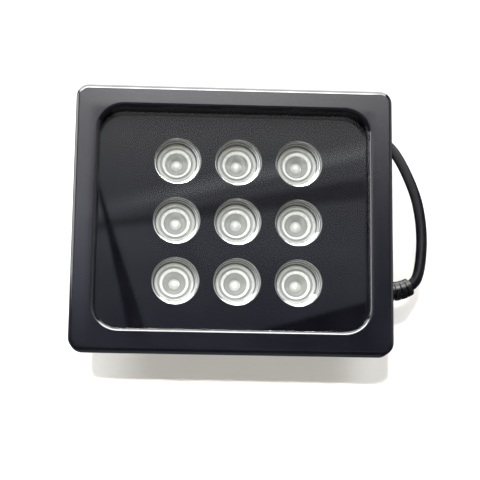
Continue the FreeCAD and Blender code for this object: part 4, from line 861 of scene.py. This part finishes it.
mirror_card("room_card", (-0.8, -1.6, -0.2), (0.9, -1.6, 0.75))
for name, low, high, glow in (("ceiling_card", (-0.9, -0.66, 0.75), (0.5, 0.30, 0.75), 6.5),
                              ("window_card", (-0.9, -1.40, 0.75), (0.5, -0.66, 0.75), 17.0),
                              ("left_card", (-1.3, -1.2, 0.16), (-1.3, 0.35, 0.75), 5.5),
                              ("right_card", (1.3, -1.4, -0.1), (1.3, 0.5, 1.1), 0.8),
                              ("low_card", (-1.3, -1.6, -1.3), (1.3, -1.6, -0.25), 0.28)):
    mirror_card(name, low, high)
    wear(name, glow_only(Finish(name, (0, 0, 0), 1.0), (1.0, 0.99, 0.98, 1.0), glow))

SOFT_EDGE = 0.003
PANE_LEVELS = [(0.10, 0.16), (0.14, 0.20), (0.16, 0.24), (0.20, 0.32), (0.24, 0.38), (0.27, 0.47),
               (0.35, 0.48), (0.40, 0.60), (0.45, 0.72), (0.470, 0.66), (0.488, 0.60), (0.492, 0.20)]
PANE_LEFT = (-0.172, -0.165)
PANE_RIGHT = (0.272, 0.279)
PALE_LINE = ((-0.130, 0.332), (0.243, 0.424))
PALE_BELOW, PALE_ABOVE = 0.014, 0.022
DARK_LINE = ((-0.117, 0.308), (0.232, 0.366))
DARK_HALVES = (0.007, 0.016)
DARK_SHARE = 0.58
CORNER_LINE = ((0.101, 0.145), (0.268, 0.193))
CORNER_LEFT = (0.06, 0.10)
STREAK_X, STREAK_Z = -0.152, 0.365
STREAK_LEAN = 0.292
STREAK_HALF = 0.0015
STREAK_WIDENING = 0.055

room = Finish("room", (0, 0, 0), 1.0)
room_x, room_z = room.place("X"), room.place("Z")


def above(line):
    """How far above a line on the card a point lies."""
    (first_x, first_z), (last_x, last_z) = line
    slope = (last_z - first_z) / (last_x - first_x)
    return room_z - (room_x * slope + (first_z - slope * first_x))


# The card's edges are what the bezel's top bar and side bars mirror.
top_bar = room.spread(room_z, 0.489, 0.494, 0.0, 1.0)
top_light = top_bar * room.spread(room_x, 0.05, 0.34, 3.1, 1.42) * room.spread(room_x, -0.25, -0.10, 0.5, 1.0)
left_light = room.spread(room_x, -0.160, -0.170, 0.0, 1.0) * room.spread(room_z, 0.10, 0.33, 0.1, 2.0)
right_rise = room.spread(room_z, 0.12, 0.52, 0.0, 1.0)
right_light = room.spread(room_x, 0.270, 0.280, 0.0, 1.0) * (right_rise ** 3.0 * 2.0 + 0.1)
frame_light = room.node("ShaderNodeMath", {"operation": "MAXIMUM"}, {
    0: top_light, 1: left_light + right_light})

# The pane mirrors the part between them: a pale band that rises to the right, a dark one
# below it, a thin dark streak near the left side and a dark corner at the lower right.
pale_height = above(PALE_LINE)
pale_band = room.spread(pale_height, -PALE_BELOW, 0.0, 0.0, 1.0) * room.spread(
    pale_height, 0.0, PALE_ABOVE, 1.0, 0.0)
pale_band = pale_band * room.spread(room_x, -0.13, -0.02, 0.20, 0.55)
dark_height = above(DARK_LINE)
dark_half = room.spread(room_x, DARK_LINE[0][0], DARK_LINE[1][0], *DARK_HALVES)
dark_band = room.spread(dark_height + dark_half, -2 * SOFT_EDGE, 2 * SOFT_EDGE, 0.0, DARK_SHARE)
dark_band = dark_band * room.spread(dark_height - dark_half, -2 * SOFT_EDGE, 2 * SOFT_EDGE, 1.0, 0.0)
streak_side = room_x + room_z * STREAK_LEAN + (-STREAK_X - STREAK_Z * STREAK_LEAN)
streak_side = room.node("ShaderNodeMath", {"operation": "ABSOLUTE"}, {0: streak_side})
streak_half = (STREAK_Z - room_z) * STREAK_WIDENING + STREAK_HALF
beside_streak = room.spread(streak_side - streak_half, -SOFT_EDGE, SOFT_EDGE, 0.0, 1.0)
above_corner = room.spread(above(CORNER_LINE), -SOFT_EDGE, SOFT_EDGE, 0.0, 1.0)
corner_light = 1 - room.spread(room_x, *CORNER_LEFT, 0.0, 1.0) * (1 - above_corner)
inside = room.spread(room_x, *PANE_LEFT, 0.0, 1.0) * room.spread(room_x, *PANE_RIGHT, 1.0, 0.0)
pane_light = room.greys(PANE_LEVELS, room_z) * (1 - dark_band) + pale_band
pane_light = pane_light * inside * beside_streak * corner_light
room_tint = room.mix(room.spread(room_z, 0.15, 0.52, 0.0, 1.0), (0.76, 0.80, 1.0), (1.0, 0.98, 0.97))
wear("room_card", glow_only(room, room_tint, pane_light + frame_light))


# World and lamps
# A dim, even light comes from all round, and the camera sees white behind everything. A
# soft box hangs above the front, and a larger one lights the back. Two small ones, which
# leave no reflection, fill the shade on the front and on the wall below.

WORLD_LIGHT = ((1.0, 0.95, 0.88, 1.0), 0.075)
WORLD_MIRRORED = ((0.80, 0.86, 1.0, 1.0), 0.05)
WORLD_SEEN = ((1.0, 1.0, 1.0, 1.0), 1.0)
FILL_PLACE = (-0.12, -1.55, -0.02)

world = bpy.data.worlds.new("studio")
scene.world = world
world.use_nodes = True
world_nodes = world.node_tree.nodes
world_light = world_nodes["Background"]
world_mirrored = world_nodes.new("ShaderNodeBackground")
world_seen = world_nodes.new("ShaderNodeBackground")
for background, (colour, strength) in ((world_light, WORLD_LIGHT), (world_mirrored, WORLD_MIRRORED),
                                       (world_seen, WORLD_SEEN)):
    background.inputs["Color"].default_value = colour
    background.inputs["Strength"].default_value = strength
ray = world_nodes.new("ShaderNodeLightPath")
unseen_mix = world_nodes.new("ShaderNodeMixShader")
world_mix = world_nodes.new("ShaderNodeMixShader")
for source, target in ((ray.outputs["Is Glossy Ray"], unseen_mix.inputs[0]),
                       (world_light.outputs[0], unseen_mix.inputs[1]),
                       (world_mirrored.outputs[0], unseen_mix.inputs[2]),
                       (ray.outputs["Is Camera Ray"], world_mix.inputs[0]),
                       (unseen_mix.outputs[0], world_mix.inputs[1]),
                       (world_seen.outputs[0], world_mix.inputs[2]),
                       (world_mix.outputs[0], world_nodes["World Output"].inputs["Surface"])):
    world.node_tree.links.new(source, target)


def soft_box(name, place, aim, width, height, watts, colour=(1, 1, 1), reflects=True, spread=180):
    """A rectangular lamp that points from its place at its aim; spread is in degrees."""
    data = bpy.data.lights.new(name, "AREA")
    data.shape = "RECTANGLE"
    data.size = width
    data.size_y = height
    data.energy = watts
    data.color = colour
    data.spread = math.radians(spread)
    lamp = bpy.data.objects.new(name, data)
    scene.collection.objects.link(lamp)
    lamp.location = place
    lamp.rotation_euler = (Vector(aim) - Vector(place)).to_track_quat("-Z", "Y").to_euler()
    lamp.visible_glossy = reflects
    lamp.visible_camera = False


soft_box("top_box", (-0.08, -1.02, 0.58), (0, -0.10, 0), 0.60, 0.22, 17.0, colour=(0.95, 0.97, 1.0))
soft_box("front_fill", FILL_PLACE, (0, -0.05, 0), 0.03, 0.03, 5.6, colour=(1.0, 0.92, 0.79), reflects=False)
soft_box("low_fill", FILL_PLACE, (0, 0, -0.16), 0.03, 0.03, 0.20, reflects=False, spread=14)
soft_box("rear_box", (0.20, 0.75, 0.70), (0, -0.03, 0), 0.9, 0.5, 9.0, reflects=False)

scene.view_settings.view_transform = "Standard"
